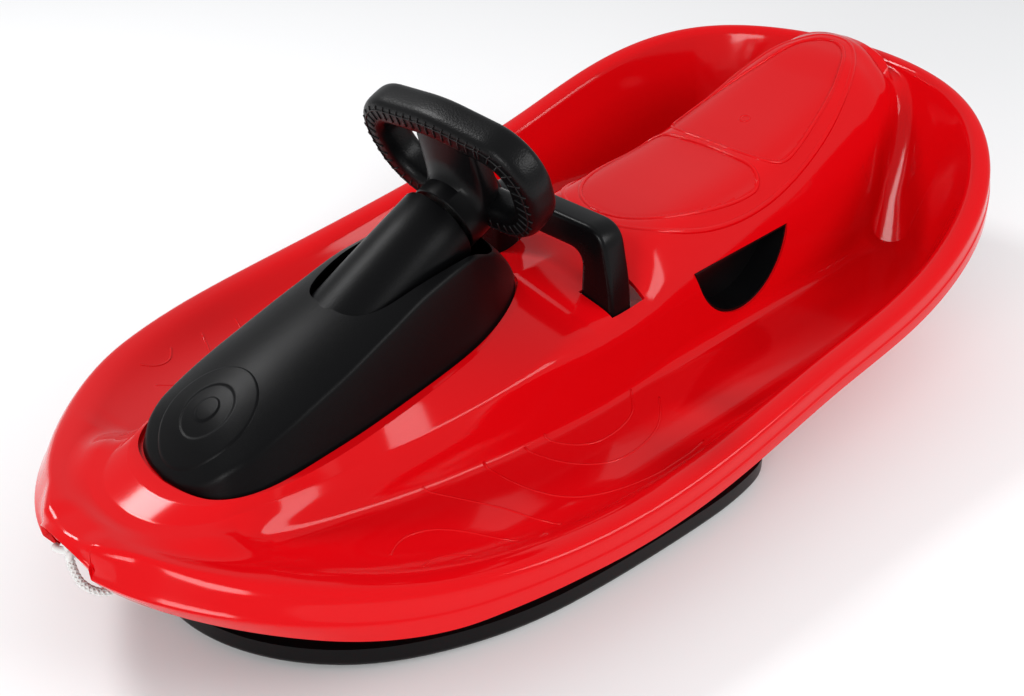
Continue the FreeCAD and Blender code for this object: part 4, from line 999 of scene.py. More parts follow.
    def stations(self) -> tuple[np.ndarray, np.ndarray]:
        """Chooses matching points round the rim and round the foot of the spine.

        Returns:
            Points on the rim, and places along the spine's foot, from the nose to the tail.
        """
        rim = closed_half(self.rim)
        along = run_length(rim)
        near_notch = (rim[:, 0] > 0) & (rim[:, 1] < self.notch_reach)
        spacing = np.where(near_notch, self.notch_step, self.rim_step)
        count = np.concatenate(([0.0], np.cumsum(np.diff(along) / spacing[1:])))
        at = np.interp(np.linspace(0, count[-1], int(count[-1])), count, along)
        nose = slice(0, len(rim) // 10)
        beside = [self.notch_half - 0.15, self.notch_half + 0.15]
        at = np.sort(np.concatenate([at, np.interp(beside, rim[nose, 1], along[nose])]))
        foot = closed_half(self.foot)
        foot_along = run_length(foot)
        marks = [(0.0, 0.0)]
        for (x, _), foot_x in zip(self.rim[1:-1], self.foot_marks):
            rim_mark = np.interp(-x, -rim[:, 0], along)
            marks.append((float(rim_mark), float(np.interp(-foot_x, -foot[:, 0], foot_along))))
        marks.append((float(along[-1]), float(foot_along[-1])))
        return read_line(rim, along, at), gentle(marks, at)

    def matched(self, knots: Knots, foot_at: np.ndarray) -> np.ndarray:
        """Finds the points of an inner contour that belong to the stations.

        Args:
            knots: Half of the contour, from its front to its rear.
            foot_at: Places of the stations along the spine's foot.

        Returns:
            One point for each station. Behind the contour's rear they lie on the middle line.
        """
        foot = closed_half(self.foot)
        foot_along = run_length(foot)
        foot_x = np.interp(foot_at, foot_along, foot[:, 0])
        line = closed_half(knots)
        along = run_length(line)
        front, rear = 380.0, -430.0
        front_at = np.interp(-front, -foot[:, 0], foot_along), np.interp(-front, -line[:, 0], along)
        rear_at = np.interp(-rear, -foot[:, 0], foot_along), np.interp(-rear, -line[:, 0], along)
        by_front = foot_at / front_at[0] * front_at[1]
        share = (foot_at - rear_at[0]) / (foot_along[-1] - rear_at[0])
        by_rear = rear_at[1] + share * (along[-1] - rear_at[1])
        place = np.where(foot_x < rear, by_rear, np.interp(-foot_x, -line[:, 0], along))
        place = np.where(foot_x > front, by_front, place)
        found = read_line(line, along, place)
        behind = foot_x < line[-1, 0]
        found[behind, 0] = foot_x[behind]
        found[behind & (foot_x > rear), 1] = 0.0
        if line[-1, 0] > rear:
            found[behind, 1] = 0.0
        return found

    def corners(self) -> tuple[list[np.ndarray], list[np.ndarray], list[np.ndarray]]:
        """Works out the corner points of every cross-section.

        Returns:
            Corner points from the flange's edge to the shoulder, the reach of each corner's rounding, and the
            rows of points from the shoulder to the middle line.
        """
        outer, foot_at = self.stations()
        inner = self.matched(self.foot, foot_at)
        x, y = outer.T
        foot_x = inner[:, 0]
        gap = np.linalg.norm(inner - outer, axis=1)
        way = (inner - outer) / gap[:, None]
        nose = ramp(x, *self.nose_span)
        tail = ramp(-x, *self.tail_span)
        closed = ramp(foot_x, *self.deck_span)
        top = natural(self.sheer, x)
        low = top - gentle(self.flange_tall, x) + 3 * nose
        arch = self.notch_top - self.notch_arch + np.sqrt(np.maximum(self.notch_arch ** 2 - y ** 2, 1.0))
        notch = (y < self.notch_half) & (x > 0)
        low = np.where(notch, np.maximum(low, arch), low)
        dimple = ramp(-y, *self.dimple_span) * (x > 0)
        beside = np.where(x > 0, ramp(y, *self.beside_notch), 1.0)
        tall = top - low
        flare = (self.flare * (1 - nose) - self.nose_roll * nose) * tall / self.flange
        edge = -0.6 * self.flare * (1 - nose) - 0.5 * nose
        crown_in = np.minimum(0.5 * gap, self.ledge + 22 * nose - 6 * tail)
        wall_in = np.minimum(np.minimum(0.72 * gap, gap - 9), self.floor_inset)
        deepest = top - np.clip((gap - 26) * 2.6, 5.0, 400.0)
        highest = top - self.floor_under_rim
        outer_floor = natural(self.floor, outer[:, 0] + way[:, 0] * wall_in)
        outer_floor = np.maximum(np.minimum(outer_floor, highest), deepest)
        outer_floor += (top - 3.5 - outer_floor) * closed
        foot_z = np.maximum(np.minimum(natural(self.floor, foot_x), highest), deepest)
        foot_z += (self.deck - foot_z) * closed

        def level(inward: np.ndarray, height: np.ndarray) -> np.ndarray:
            """Places one corner of every cross-section.

            Args:
                inward: How far it lies inside the rim.
                height: How high it lies.

            Returns:
                Its points.
            """
            return np.column_stack([outer + way * inward[:, None], height])

        low_line = self.matched(self.low_crease, foot_at)
        side_line = self.matched(self.shoulder, foot_at)
        side_z = np.maximum(gentle(self.shoulder_z, side_line[:, 0]), foot_z + 0.4)
        low_z = gentle(self.low_crease_z, low_line[:, 0])
        low_z = np.clip(low_z, foot_z + 0.2 * (side_z - foot_z), foot_z + 0.8 * (side_z - foot_z))
        # Flange edge, both corners of its step, rim, ledge, floor, foot of the spine, crease and shoulder.
        points = [
            level(-flare, low),
            level(edge, low + (0.4 - 0.04 * nose) * tall),
            level(edge + 1.3 + 1.5 * nose, low + 0.45 * tall),
            level(1.0 + 3 * nose + 12 * nose * beside + 3 * dimple, top - 3 * dimple),
            level(crown_in, top - 1 - 2.5 * dimple),
            level(wall_in, outer_floor),
            np.column_stack([inner, foot_z]),
            np.column_stack([low_line, low_z]),
            np.column_stack([side_line, side_z]),
        ]
        seat = ramp(-foot_x, 0.0, 70.0)
        plain = ramp(-foot_x, -190.0, -40.0)
        zero = 0 * x
        reach = [
            zero,
            1.5 + zero,
            1.5 + zero,
            (13 + 12 * nose) * (0.3 + 0.7 * beside),
            9 + 9 * nose,
            26 - 11 * tail,
            7 + 7 * seat + 34 * tail,
            4 + 14 * plain,
            4 + 24 * plain,
        ]
        return points, reach, self.upper_rows(foot_at, points[-1])

    def upper_rows(self, foot_at: np.ndarray, side: np.ndarray) -> list[np.ndarray]:
        """Lays the rows from the shoulder to the middle line: seat, collar and the shelf under the cowl.

        Args:
            foot_at: Places of the stations along the spine's foot.
            side: Points on the shoulder.

        Returns:
            Rows of points, the first of which ends the shoulder's rounding.
        """
        apex = self.matched(self.collar, foot_at)
        lip = self.matched(self.lip_line, foot_at)
        under = ramp(apex[:, 1], 0.0, 9.0) * (apex[:, 0] > self.cowl_rear - 6)
        front = apex[:, 0] > 380
        under = np.where(front, 1.0, under)
        seat = np.interp(apex[:, 0], (self.cowl_rear, self.cowl_front), self.shelf_heights)
        by_cowl = apex[:, 0] > self.cowl_rear - 5
        apex_z = np.where(by_cowl, seat + self.lip, gentle(self.crown, apex[:, 0]))
        power = 1.0 + 5.0 * ramp(-apex[:, 0], -10.0, 80.0) - 3.5 * ramp(-apex[:, 0], 380.0, 460.0)
        ease = 0.93 - 0.21 * ramp(-apex[:, 0], -190.0, -20.0)
        steepness = ease ** power + power * ease ** (power - 1) * (1 - ease)
        bend = np.maximum(apex_z - side[:, 2], 0.2) / steepness
        rows = []
        for part in np.linspace(1.0, 0.0, self.crown_steps):
            share = part * ease
            plan = apex + (side[:, :2] - apex) * share[:, None]
            rows.append(np.column_stack([plan, apex_z - bend * share ** power]))
        shelf = seat - self.shelf_gap
        for inward, goal in ((1.0, seat + (self.lip + 0.8)), (0.975, shelf), (0.5, shelf), (0.0, shelf)):
            along = apex[:, 0] + (lip[:, 0] - apex[:, 0]) * under
            across = lip[:, 1] * inward * under + apex[:, 1] * inward * (1 - under)
            rows.append(np.column_stack([along, across, apex_z + (goal - apex_z) * under]))
        rows[-1][:, 1] = 0.0
        return rows

    def surface(self) -> np.ndarray:
        """Lays out the outer surface of the hull's left half.

        Returns:
            Points by station and row, in millimetres.
        """
        points, reach, upper = self.corners()
        shoulder = len(points) - 1
        rows = [points[0]]
        last = points[0]
        for i in range(1, len(points)):
            here = points[i]
            after = upper[0] if i == shoulder else points[i + 1]
            back, on = points[i - 1] - here, after - here
            back_long = np.linalg.norm(back, axis=1) + TINY
            on_long = np.linalg.norm(on, axis=1) + TINY
            cut_back = np.minimum(reach[i], self.corner_share * back_long)
            start = here + back * (np.minimum(cut_back, on_long) / back_long)[:, None]
            stop = after
            if i != shoulder:
                stop = here + on * (np.minimum(reach[i], self.corner_share * on_long) / on_long)[:, None]
            flat, turn = self.flat_steps[i - 1], self.turn_steps[i]
            rows += [last + (start - last) * k / flat for k in range(1, flat + 1)]
            rows += [soft_bend(start, here, stop, k / turn) for k in range(1, turn + 1)]
            last = stop
        rows += upper[1:]
        grid = np.stack(rows, axis=1)
        grid[[0, -1], :, 1] = 0.0
        grid[..., 1] = np.maximum(grid[..., 1], 0.0)
        grid[..., 2] += self.relief(grid[..., 0], grid[..., 1])
        return grid

    def relief(self, x: np.ndarray, y: np.ndarray) -> np.ndarray:
        """Works out the shallow relief: the seat's two sunk pads and their seams.

        Args:
            x: Places along the hull.
            y: Places across it.

        Returns:
            Height of the relief at each place.
        """
        height = np.zeros_like(x)
        for pad in (self.front_pad, self.rear_pad):
            inside = inside_depth(x, y, pad)
            seam = self.seam_sunk * np.exp(-((inside - 1.5) / 2.4) ** 2)
            sunk = -self.pad_sunk * ramp(inside, 0.0, 4.0) - seam
            height += np.where(x < self.seat_front, sunk, 0.0)
        return height

    def build(self) -> list[bpy.types.Object]:
        """Makes the hull as one moulded skin with its cut-outs.

        Returns:
            The skin, the keels and the fine raised lines.
        """
        skin = mirrored_skin("hull", self.surface(), 0.00002)
        thicken(skin, self.wall * MM)
        cut(skin, self.cutters())
        sharpen(skin, 32.0)
        return [skin, self.keels(), self.beads(skin)]

    def beads(self, skin: bpy.types.Object) -> bpy.types.Object:
        """Makes the fine raised lines: round the seat, its pads and its gate mark, and the floor's ripples.

        Args:
            skin: The hull's skin, on which they lie.

        Returns:
            All lines as one mesh.
        """
        work = bmesh.new()
        work.from_mesh(skin.data)
        tree = BVHTree.FromBMesh(work)
        lines = []
        edges = (self.front_pad, self.rear_pad, self.seat_edge)
        for edge, bead in zip(edges, (self.pad_bead, self.pad_bead, self.edge_bead)):
            half = closed_half(edge)
            half = half[::max(1, len(half) // 90)]
            lines.append((np.concatenate([half, half[::-1] * np.array((1.0, -1.0))]), bead))
        turn = np.linspace(0, 2 * math.pi, 25)
        mark_x, mark_radius = self.gate_mark
        mark = np.stack([mark_x + mark_radius * np.cos(turn), mark_radius * np.sin(turn)], axis=1)
        lines.append((mark, self.mark_bead))
        tubes = [round_tube(laid(tree, line, lift), radius * MM, 8) for line, (radius, lift) in lines]
        radius, lift = self.ripple_bead
        for arc in self.ripples:
            curve = smooth_line(arc, 50)
            for side in (1.0, -1.0):
                line = curve * np.array((1.0, side))
                path = laid(tree, line, lift)
                on_floor = path[:, 2] / MM < natural(self.floor, line[:, 0]) + self.ripple_climb
                tubes.append(round_tube(path[on_floor], radius * MM, 8))
        work.free()
        return bundle("hull_beads", tubes)

    def cutters(self) -> list[bpy.types.Object]:
        """Makes the solids that open the skin for the cups and the brake's legs.

        Returns:
            The solids.
        """
        tools = []
        half, drop = self.cup_half, self.cup_drop
        radius = (half ** 2 + drop ** 2) / (2 * drop)
        sweep = math.asin(half / radius) if drop <= radius else math.pi - math.asin(half / radius)
        turn = np.linspace(-sweep, sweep, 41)
        low = self.cup_top - drop + radius
        bowl = np.stack([self.cup_x + radius * np.sin(turn), 0 * turn, low - radius * np.cos(turn)], axis=1)
        rear, front, inner, outer = self.slot
        for side in (-1.0, 1.0):
            start = bowl + np.array((0.0, side * self.cup_inner, 0.0))
            tools.append(prism("cup_cut", start * MM, (0.0, side * self.cup_reach * MM, 0.0)))
            plan = ((rear, inner), (front, inner), (front, outer), (rear, outer))
            box = np.array([(x, side * y, self.slot_low) for x, y in plan])
            tools.append(prism("slot_cut", box * MM, (0.0, 0.0, self.slot_tall * MM)))
        return tools

    def keels(self) -> bpy.types.Object:
        """Makes the two rear keels.

        Returns:
            Both keels as one mesh.
        """
        rear, front, top, round_end = self.keel
        turn = np.linspace(0, math.pi / 2, 12)
        inset, rise = round_end * (1 - np.sin(turn)), round_end * (1 - np.cos(turn))
        rear_end = np.stack([rear + inset, rise], axis=1)[::-1]
        front_end = np.stack([front - inset, rise], axis=1)
        side_view = np.concatenate([[(rear, top)], rear_end, front_end, [(front, top)]])
        both = []
        for middle in (-self.keel_spread / 2, self.keel_spread / 2):
            across = np.full(len(side_view), middle - self.keel_width / 2)
            start = np.column_stack([side_view[:, 0], across, side_view[:, 1]])
            both.append(prism("hull_keels", start * MM, (0.0, self.keel_width * MM, 0.0)))
        keels = join(both)
        sharpen(keels, 40.0)
        return keels

    def dress(self, pieces: list[bpy.types.Object], paints: Paintbox) -> None:
        """Paints the hull and ties it to the sled.

        Args:
            pieces: The skin and what belongs to it.
            paints: The materials.
        """
        for piece in pieces:
            paints.paint(piece, HULL_RED)
            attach(piece, self.body.value)
        skin = pieces[0].data
        skin.materials.append(paints.material(PAD_RED))
        centres = np.empty(len(skin.polygons) * 3)
        skin.polygons.foreach_get("center", centres)
        x, y, z = centres.reshape(-1, 3).T / MM
        inside = np.maximum(*(inside_depth(x, np.abs(y), pad) for pad in (self.front_pad, self.rear_pad)))
        on_pad = (inside > self.pad_finish_in) & (z > self.pad_finish_above)
        skin.polygons.foreach_set("material_index", on_pad.astype(np.int32))
        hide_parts("hull_shell")


# Top of the steering column, in millimetres, and the column's own axes.
COLUMN_TOP = np.array((140.0, 0.0, 254.0))
COLUMN_UP = np.array((0.406737, 0.0, 0.913545))
COLUMN_LEFT = np.array((0.0, 1.0, 0.0))
COLUMN_BACK = np.array((-0.913545, 0.0, 0.406737))


def on_column(local: np.ndarray) -> np.ndarray:
    """Moves points from the column's own axes to their place.

    Args:
        local: Points as up in the wheel's plane, left, and towards the rider, in millimetres.

    Returns:
        The points in metres.
    """
    moved = local[..., 0:1] * COLUMN_UP + local[..., 1:2] * COLUMN_LEFT + local[..., 2:3] * COLUMN_BACK
    return (COLUMN_TOP + moved) * MM


def oval(count: int, power: float) -> np.ndarray:
    """Draws a squared-off circle of radius 1.

    Args:
        count: Number of points.
        power: 2 makes a circle, and more makes it squarer.

    Returns:
        The points.
    """
    turn = np.linspace(0, 2 * math.pi, count, endpoint=False)
    wave = np.stack([np.cos(turn), np.sin(turn)], axis=1)
    return np.sign(wave) * np.abs(wave) ** (2.0 / power)


def column_loft(name: str, rings: Sequence[tuple[float, ...]]) -> bpy.types.Object:
    """Lofts a solid along the column through oval rings.

    Args:
        name: Name of the piece.
        rings: Place along the column, middle, half height, half width and squareness of each ring.

    Returns:
        The solid.
    """
    sides = 96
    points = []
    for along, middle, high, wide, power in rings:
        ring = oval(sides, power) * np.array((high, wide)) + np.array((middle, 0.0))
        points.append(on_column(np.column_stack([ring, np.full(sides, along)])))
    piece = mesh_piece(name, np.concatenate(points), tube_faces(len(rings), sides))
    weld(piece, 1e-7)
    sharpen(piece, 35.0)
    return piece


@dataclass
class SteeringWheel:
    """Leather-covered steering wheel with its broad boss. Its sizes are in millimetres."""

    body: Body = Body.STEERING
    offset: float = 42.5
    half_depth: float = 15.6
    half_thickness: float = 13.4
    corners: tuple = ((75.68, 90.0, 34.0), (-8.0, 81.0, 43.0), (-8.0, -81.0, 43.0), (75.68, -90.0, 34.0),
                      (86.0, 0.0, 168.0))
    squareness: float = 3.4
    stitch_spacing: float = 9.0
    stitch_long: float = 2.6
    stitch_radius: float = 0.8
    stitch_proud: float = 0.2
    stitch_sweep: tuple = (262.0, 300.0)
    seam_turn: float = 281.0
    boss: tuple = ((5.3, 0, 32.2, 32.2, 2.0), (6.2, 0, 33, 33, 2.0), (20, 0, 33, 33, 2.0),
                   (25, 2, 35, 33, 2.1), (29, 8, 41, 33, 2.3), (32, 18, 50, 33.5, 2.6),
                   (35, 28, 57, 34, 3.0), (39, 36, 50, 34, 3.4), (46, 38, 47, 33, 3.4),
                   (51, 38, 44, 31, 3.2), (53.5, 38, 38, 26, 3.0))
    hub: tuple = ((48, 0, 20.5, 20.5, 2.0), (58.6, 0, 20.5, 20.5, 2.0), (59.6, 0, 19.5, 19.5, 2.0))

    def middle_line(self, count: int = 260) -> tuple[np.ndarray, np.ndarray]:
        """Draws the rim's middle line: straight runs joined by arcs.

        Args:
            count: Number of points.

        Returns:
            Points, and their outward directions, in the wheel's plane.
        """
        spots = [np.array(c[:2]) for c in self.corners]
        line: list[np.ndarray] = []
        for i, (_, _, radius) in enumerate(self.corners):
            back = spots[i - 1] - spots[i]
            on = spots[(i + 1) % len(spots)] - spots[i]
            back, on = back / np.linalg.norm(back), on / np.linalg.norm(on)
            half = math.acos(float(np.clip(back.dot(on), -1, 1))) / 2
            mid = (back + on) / np.linalg.norm(back + on)
            centre = spots[i] + mid * radius / math.sin(half)
            start = spots[i] + back * radius / math.tan(half) - centre
            stop = spots[i] + on * radius / math.tan(half) - centre
            sweep = math.pi - 2 * half
            for t in np.linspace(0, 1, 24):
                mixed = math.sin((1 - t) * sweep) * start + math.sin(t * sweep) * stop
                line.append(centre + mixed / math.sin(sweep))
        closed = np.array(line + [line[0]])
        along = run_length(closed)
        at = np.linspace(0, along[-1], count, endpoint=False)
        even = read_line(closed, along, at)
        ahead = np.roll(even, -1, 0) - np.roll(even, 1, 0)
        ahead /= np.linalg.norm(ahead, axis=1)[:, None]
        out = np.stack([ahead[:, 1], -ahead[:, 0]], axis=1)
        if np.sum(out * (even - even.mean(axis=0))) < 0:
            out = -out
        return even, out

    def skin(self, middle: np.ndarray, out: np.ndarray, turn: np.ndarray, proud: float) -> np.ndarray:
        """Finds points on or above the cover's surface.

        Args:
            middle: Points of the rim's middle line.
            out: Outward directions there.
            turn: Angle round the section at each point.
            proud: Height above the surface.

        Returns:
            Points in the column's axes.
        """
        power = 2.0 / self.squareness
        wide = np.sign(np.cos(turn)) * np.abs(np.cos(turn)) ** power * (self.half_thickness + proud)
        deep = np.sign(np.sin(turn)) * np.abs(np.sin(turn)) ** power * (self.half_depth + proud)
        return np.column_stack([middle + out * wide[:, None], self.offset + deep])

    def cover(self) -> bpy.types.Object:
        """Makes the leather cover round the rim.

        Returns:
            The cover.
        """
        middle, out = self.middle_line()
        sides = 40
        rings = [self.skin(middle, out, np.full(len(middle), t), 0.0)
                 for t in np.linspace(0, 2 * math.pi, sides, endpoint=False)]
        points = np.stack(rings, axis=1).reshape(-1, 3)
        cover = mesh_piece("wheel_cover", on_column(points), tube_faces(len(middle), sides, closed=True))
        weld(cover, 1e-7)
        return cover

    def stitches(self) -> bpy.types.Object:
        """Makes the blanket stitches along the cover's inner edge, on the side towards the nose.

        Returns:
            All stitches and the thread along them as one mesh.
        """
        middle, out = self.middle_line()
        closed, facing = np.concatenate([middle, middle[:1]]), np.concatenate([out, out[:1]])
        along = run_length(closed)
        first, last = (math.radians(turn) for turn in self.stitch_sweep)
        lines = []
        for spot in np.arange(0.0, along[-1] - 3.0, self.stitch_spacing):
            lines.append((np.linspace(spot, spot + self.stitch_long, 6), np.linspace(first, last, 6)))
        lines.append((np.linspace(0, along[-1], 400), np.full(400, math.radians(self.seam_turn))))
        tubes = []
        for places, turn in lines:
            spots, outward = read_line(closed, along, places), read_line(facing, along, places)
            path = on_column(self.skin(spots, outward, turn, self.stitch_proud))
            tubes.append(round_tube(path, self.stitch_radius * MM, 6))
        return bundle("wheel_stitches", tubes)

    def build(self) -> list[bpy.types.Object]:
        """Makes the wheel.

        Returns:
            The cover, the stitches and the boss.
        """
        boss = join([column_loft("wheel_boss", self.boss), column_loft("wheel_hub", self.hub)])
        return [self.cover(), self.stitches(), boss]

    def dress(self, pieces: list[bpy.types.Object], paints: Paintbox) -> None:
        """Paints the wheel and ties it to the steering.

        Args:
            pieces: The cover, the stitches and the boss.
            paints: The materials.
        """
        finishes = (COVER_LEATHER, THREAD_BLACK, TRIM_BLACK)
        slots = (Slot.COVER, Slot.COVER, Slot.TRIM)
        for piece, finish, slot in zip(pieces, finishes, slots):
            paints.paint(piece, finish)
            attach(piece, self.body.value)
        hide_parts("wheel_grip_cover")
        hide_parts("wheel_armature")


@dataclass
class Cowl:
    """Black teardrop cowl with its mouth, its ring relief and the column's sleeve, in millimetres.

    Edge, crease and crown are half widths and heights over the seat by places along the sled.
    """

    body: Body = Body.SLED
    rear: float = 52.0
    front: float = 430.0
    seat_heights: tuple = (164.5, 144.5)
    wall: float = 3.0
    stations: int = 190
    crease_share: float = 0.86
    crease_reach: float = 3.5
    edge: Knots = ((430, 0), (427, 23.8), (418, 47), (405, 60), (384, 69), (340, 72), (300, 71.4), (250, 68),
                   (200, 63), (150, 55), (115, 44), (85, 30), (63, 15.4), (55, 6.3), (52, 0))
    crease: Knots = ((430, 0.0), (427, 4.2), (418, 10.9), (405, 19.7), (384, 26.9), (340, 39.9), (300, 50.4),
                     (250, 64.7), (200, 77.3), (150, 81.5), (115, 68), (85, 43.7), (63, 16.8), (55, 5.9),
                     (52, 0.0))
    crown: Knots = ((430, 0.4), (427, 5.9), (418, 15.1), (405, 26.9), (384, 39.9), (340, 55), (300, 66.4),
                    (250, 79.8), (200, 91.6), (150, 93.2), (115, 79.8), (85, 52.9), (63, 21.8), (55, 8.4),
                    (52, 0.4))
    mouth: tuple = (98.0, 266.0, 44.0, 3.2)
    mouth_points: int = 64
    mouth_low: float = 178.0
    mouth_tall: float = 150.0
    ring_middle: float = 384.0
    ring_size: float = 41.0
    ring_base: float = 0.2
    ring_rise: float = 0.9
    ring_fall: float = 0.7
    ring_fall_from: float = 40.2
    band_inner: tuple = (21.0, 22.4)
    band_outer: tuple = (39.0, 40.4)
    knob_edge: tuple = (9.0, 10.4)
    sleeve: tuple = ((-150, 0, 27, 36, 2.0), (-120, 0, 29.2, 37, 2.0), (-80, 0, 32, 37.4, 2.0),
                     (-40, 0, 34.6, 37.2, 2.0), (-2.5, 0, 37, 37, 2.0), (-0.8, 0, 36.4, 36.4, 2.0),
                     (-0.3, 0, 35, 35, 2.0), (-0.3, 0, 25, 25, 2.0), (-12, 0, 25, 25, 2.0))

    def seat(self, x: np.ndarray) -> np.ndarray:
        """Reads the height of the shelf the cowl stands on.

        Args:
            x: Places along the sled.

        Returns:
            Heights there.
        """
        return np.interp(x, (self.rear, self.front), self.seat_heights)

    def height(self, x: np.ndarray, y: np.ndarray) -> np.ndarray:
        """Reads the height of the cowl's top face.

        Args:
            x: Places along the sled.
            y: Places across it.

        Returns:
            Heights there.
        """
        wide = np.maximum(self.crease_share * gentle(self.edge, x), 0.5)
        low, high = gentle(self.crease, x), gentle(self.crown, x)
        return self.seat(x) + high - (high - low) * (y / wide) ** 2

    def shell(self) -> bpy.types.Object:
        """Makes the cowl's skin with its mouth.

        Returns:
            The cowl.
        """
        share = 0.5 - 0.5 * np.cos(np.linspace(0, math.pi, self.stations))
        x = self.rear + (self.front - self.rear) * share
        wide, low = gentle(self.edge, x), gentle(self.crease, x)
        fold = self.crease_share * wide
        foot = np.column_stack([x, wide, self.seat(x)])
        bend = np.column_stack([x, fold, self.seat(x) + low])
        reach = np.minimum(self.crease_reach, 0.3 * fold)
        side = bend - foot
        long = np.linalg.norm(side, axis=1) + TINY
        start = bend - side * (np.minimum(reach, 0.4 * long) / long)[:, None]
        inner = fold - reach
        stop = np.column_stack([x, inner, self.height(x, inner)])
        rows = [foot + (start - foot) * t for t in np.linspace(0, 1, 9)]
        rows += [soft_bend(start, bend, stop, t) for t in np.linspace(0, 1, 7)[1:]]
        for t in np.linspace(1, 0, 22)[1:]:
            rows.append(np.column_stack([x, inner * t, self.height(x, inner * t)]))
        skin = mirrored_skin("cowl", np.stack(rows, axis=1), 0.00001, left_turned=True)
        thicken(skin, self.wall * MM)
        rear, front, half, power = self.mouth
        size, middle = np.array(((front - rear) / 2, half)), np.array(((front + rear) / 2, 0.0))
        hole = oval(self.mouth_points, power) * size + middle
        hole = np.column_stack([hole, np.full(self.mouth_points, self.mouth_low)])
        cut(skin, [prism("mouth", hole * MM, (0.0, 0.0, self.mouth_tall * MM))])
        sharpen(skin, 30.0)
        return skin

    def rings(self) -> bpy.types.Object:
        """Makes the plain round relief on the cowl's nose.

        Returns:
            The relief as one thin disc.
        """
        rounds, spokes = 46, 96
        reach = np.linspace(0.0, self.ring_size, rounds)
        turn = np.linspace(0, 2 * math.pi, spokes, endpoint=False)
        x = self.ring_middle + reach[:, None] * np.cos(turn)
        y = reach[:, None] * np.sin(turn)
        band = ramp(reach, *self.band_inner) - ramp(reach, *self.band_outer)
        knob = 1.0 - ramp(reach, *self.knob_edge)
        fall = self.ring_fall * ramp(reach, self.ring_fall_from, self.ring_size)
        rise = self.ring_base + self.ring_rise * band + self.ring_rise * knob - fall
        z = self.height(x, y) + rise[:, None]
        points = np.stack([x, y, z], axis=2).reshape(-1, 3) * MM
        disc = mesh_piece("cowl_rings", points, tube_faces(rounds, spokes)[:-2])
        weld(disc, 1e-7, open_skin=True)
        return disc

    def build(self) -> list[bpy.types.Object]:
        """Makes the cowl, its relief and the sleeve.

        Returns:
            The three pieces.
        """
        return [self.shell(), self.rings(), column_loft("sleeve", self.sleeve)]

    def dress(self, pieces: list[bpy.types.Object], paints: Paintbox) -> None:
        """Paints the cowl and ties it to the sled.

        Args:
            pieces: The cowl, its relief and the sleeve.
            paints: The materials.
        """
        for piece in pieces:
            paints.paint(piece, COWL_BLACK)
            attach(piece, self.body.value)
        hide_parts("column_cowl")
        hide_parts("column_sleeve")


@dataclass
class BrakeLever:
    """U-shaped brake lever with soft bends. Its sizes are in millimetres."""

    body: Body = Body.BRAKE
    middle: float = 1.0
    depth: float = 29.0
    half: tuple = ((52, 112.5, 0), (92.6, 112.5, 0), (92.6, 156, 30), (75, 227, 20))
    under: tuple = (52.0, 198.0, 16.0)
    soft_edge: float = 5.0

    def outline(self) -> np.ndarray:
        """Draws the lever as seen along the sled, with rounded bends.

        Returns:
            Points across and up.
        """
        left = list(self.half)
        inner = self.under
        loop = left[1:] + [(-y, z, r) for y, z, r in reversed(left[1:])] + [(-left[0][0], left[0][1], 0)]
        loop += [(-inner[0], inner[1], inner[2]), inner, left[0]]
        line: list[np.ndarray] = []
        for i, (y, z, radius) in enumerate(loop):
            here = np.array((y, z), dtype=float)
            if not radius:
                line.append(here)
                continue
            back = np.array(loop[i - 1][:2]) - here
            on = np.array(loop[(i + 1) % len(loop)][:2]) - here
            start = here + back / np.linalg.norm(back) * radius
            stop = here + on / np.linalg.norm(on) * radius
            for t in np.linspace(0, 1, 10):
                line.append(soft_bend(start, here, stop, t))
        return np.array(line)

    def build(self) -> bpy.types.Object:
        """Makes the lever.

        Returns:
            The lever.
        """
        line = self.outline()
        start = np.column_stack([np.full(len(line), self.middle - self.depth / 2), line]) * MM
        lever = prism("brake_lever_form", start, (self.depth * MM, 0.0, 0.0))
        soft = lever.modifiers.new("soft", "BEVEL")
        soft.width = self.soft_edge * MM
        soft.segments = 4
        soft.limit_method = "ANGLE"
        soft.angle_limit = math.radians(60)
        settle(lever)
        sharpen(lever, 40.0)
        return lever

    def dress(self, piece: bpy.types.Object, paints: Paintbox) -> None:
        """Paints the lever and ties it to the brake.

        Args:
            piece: The lever.
            paints: The materials.
        """
        paints.paint(piece, LEVER_BLACK)
        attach(piece, self.body.value)
        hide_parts("brake_lever")


@dataclass(frozen=True)
class Lamp:
    """One soft rectangular lamp: its place, the point it faces, its width and height, and its watts."""

    name: str
    place: Point
    aim: Point
    size: tuple[float, float]
    power: float

    def hang(self) -> None:
        """Hangs the lamp in the scene."""
        data = bpy.data.lights.new(self.name, "AREA")
        data.shape = "RECTANGLE"
        data.size, data.size_y = self.size
        data.energy = self.power
        lamp = bpy.data.objects.new(self.name, data)
        bpy.context.scene.collection.objects.link(lamp)
        lamp.location = self.place
        lamp.rotation_mode = "QUATERNION"
        lamp.rotation_quaternion = (Vector(self.aim) - Vector(self.place)).to_track_quat("-Z", "Y")


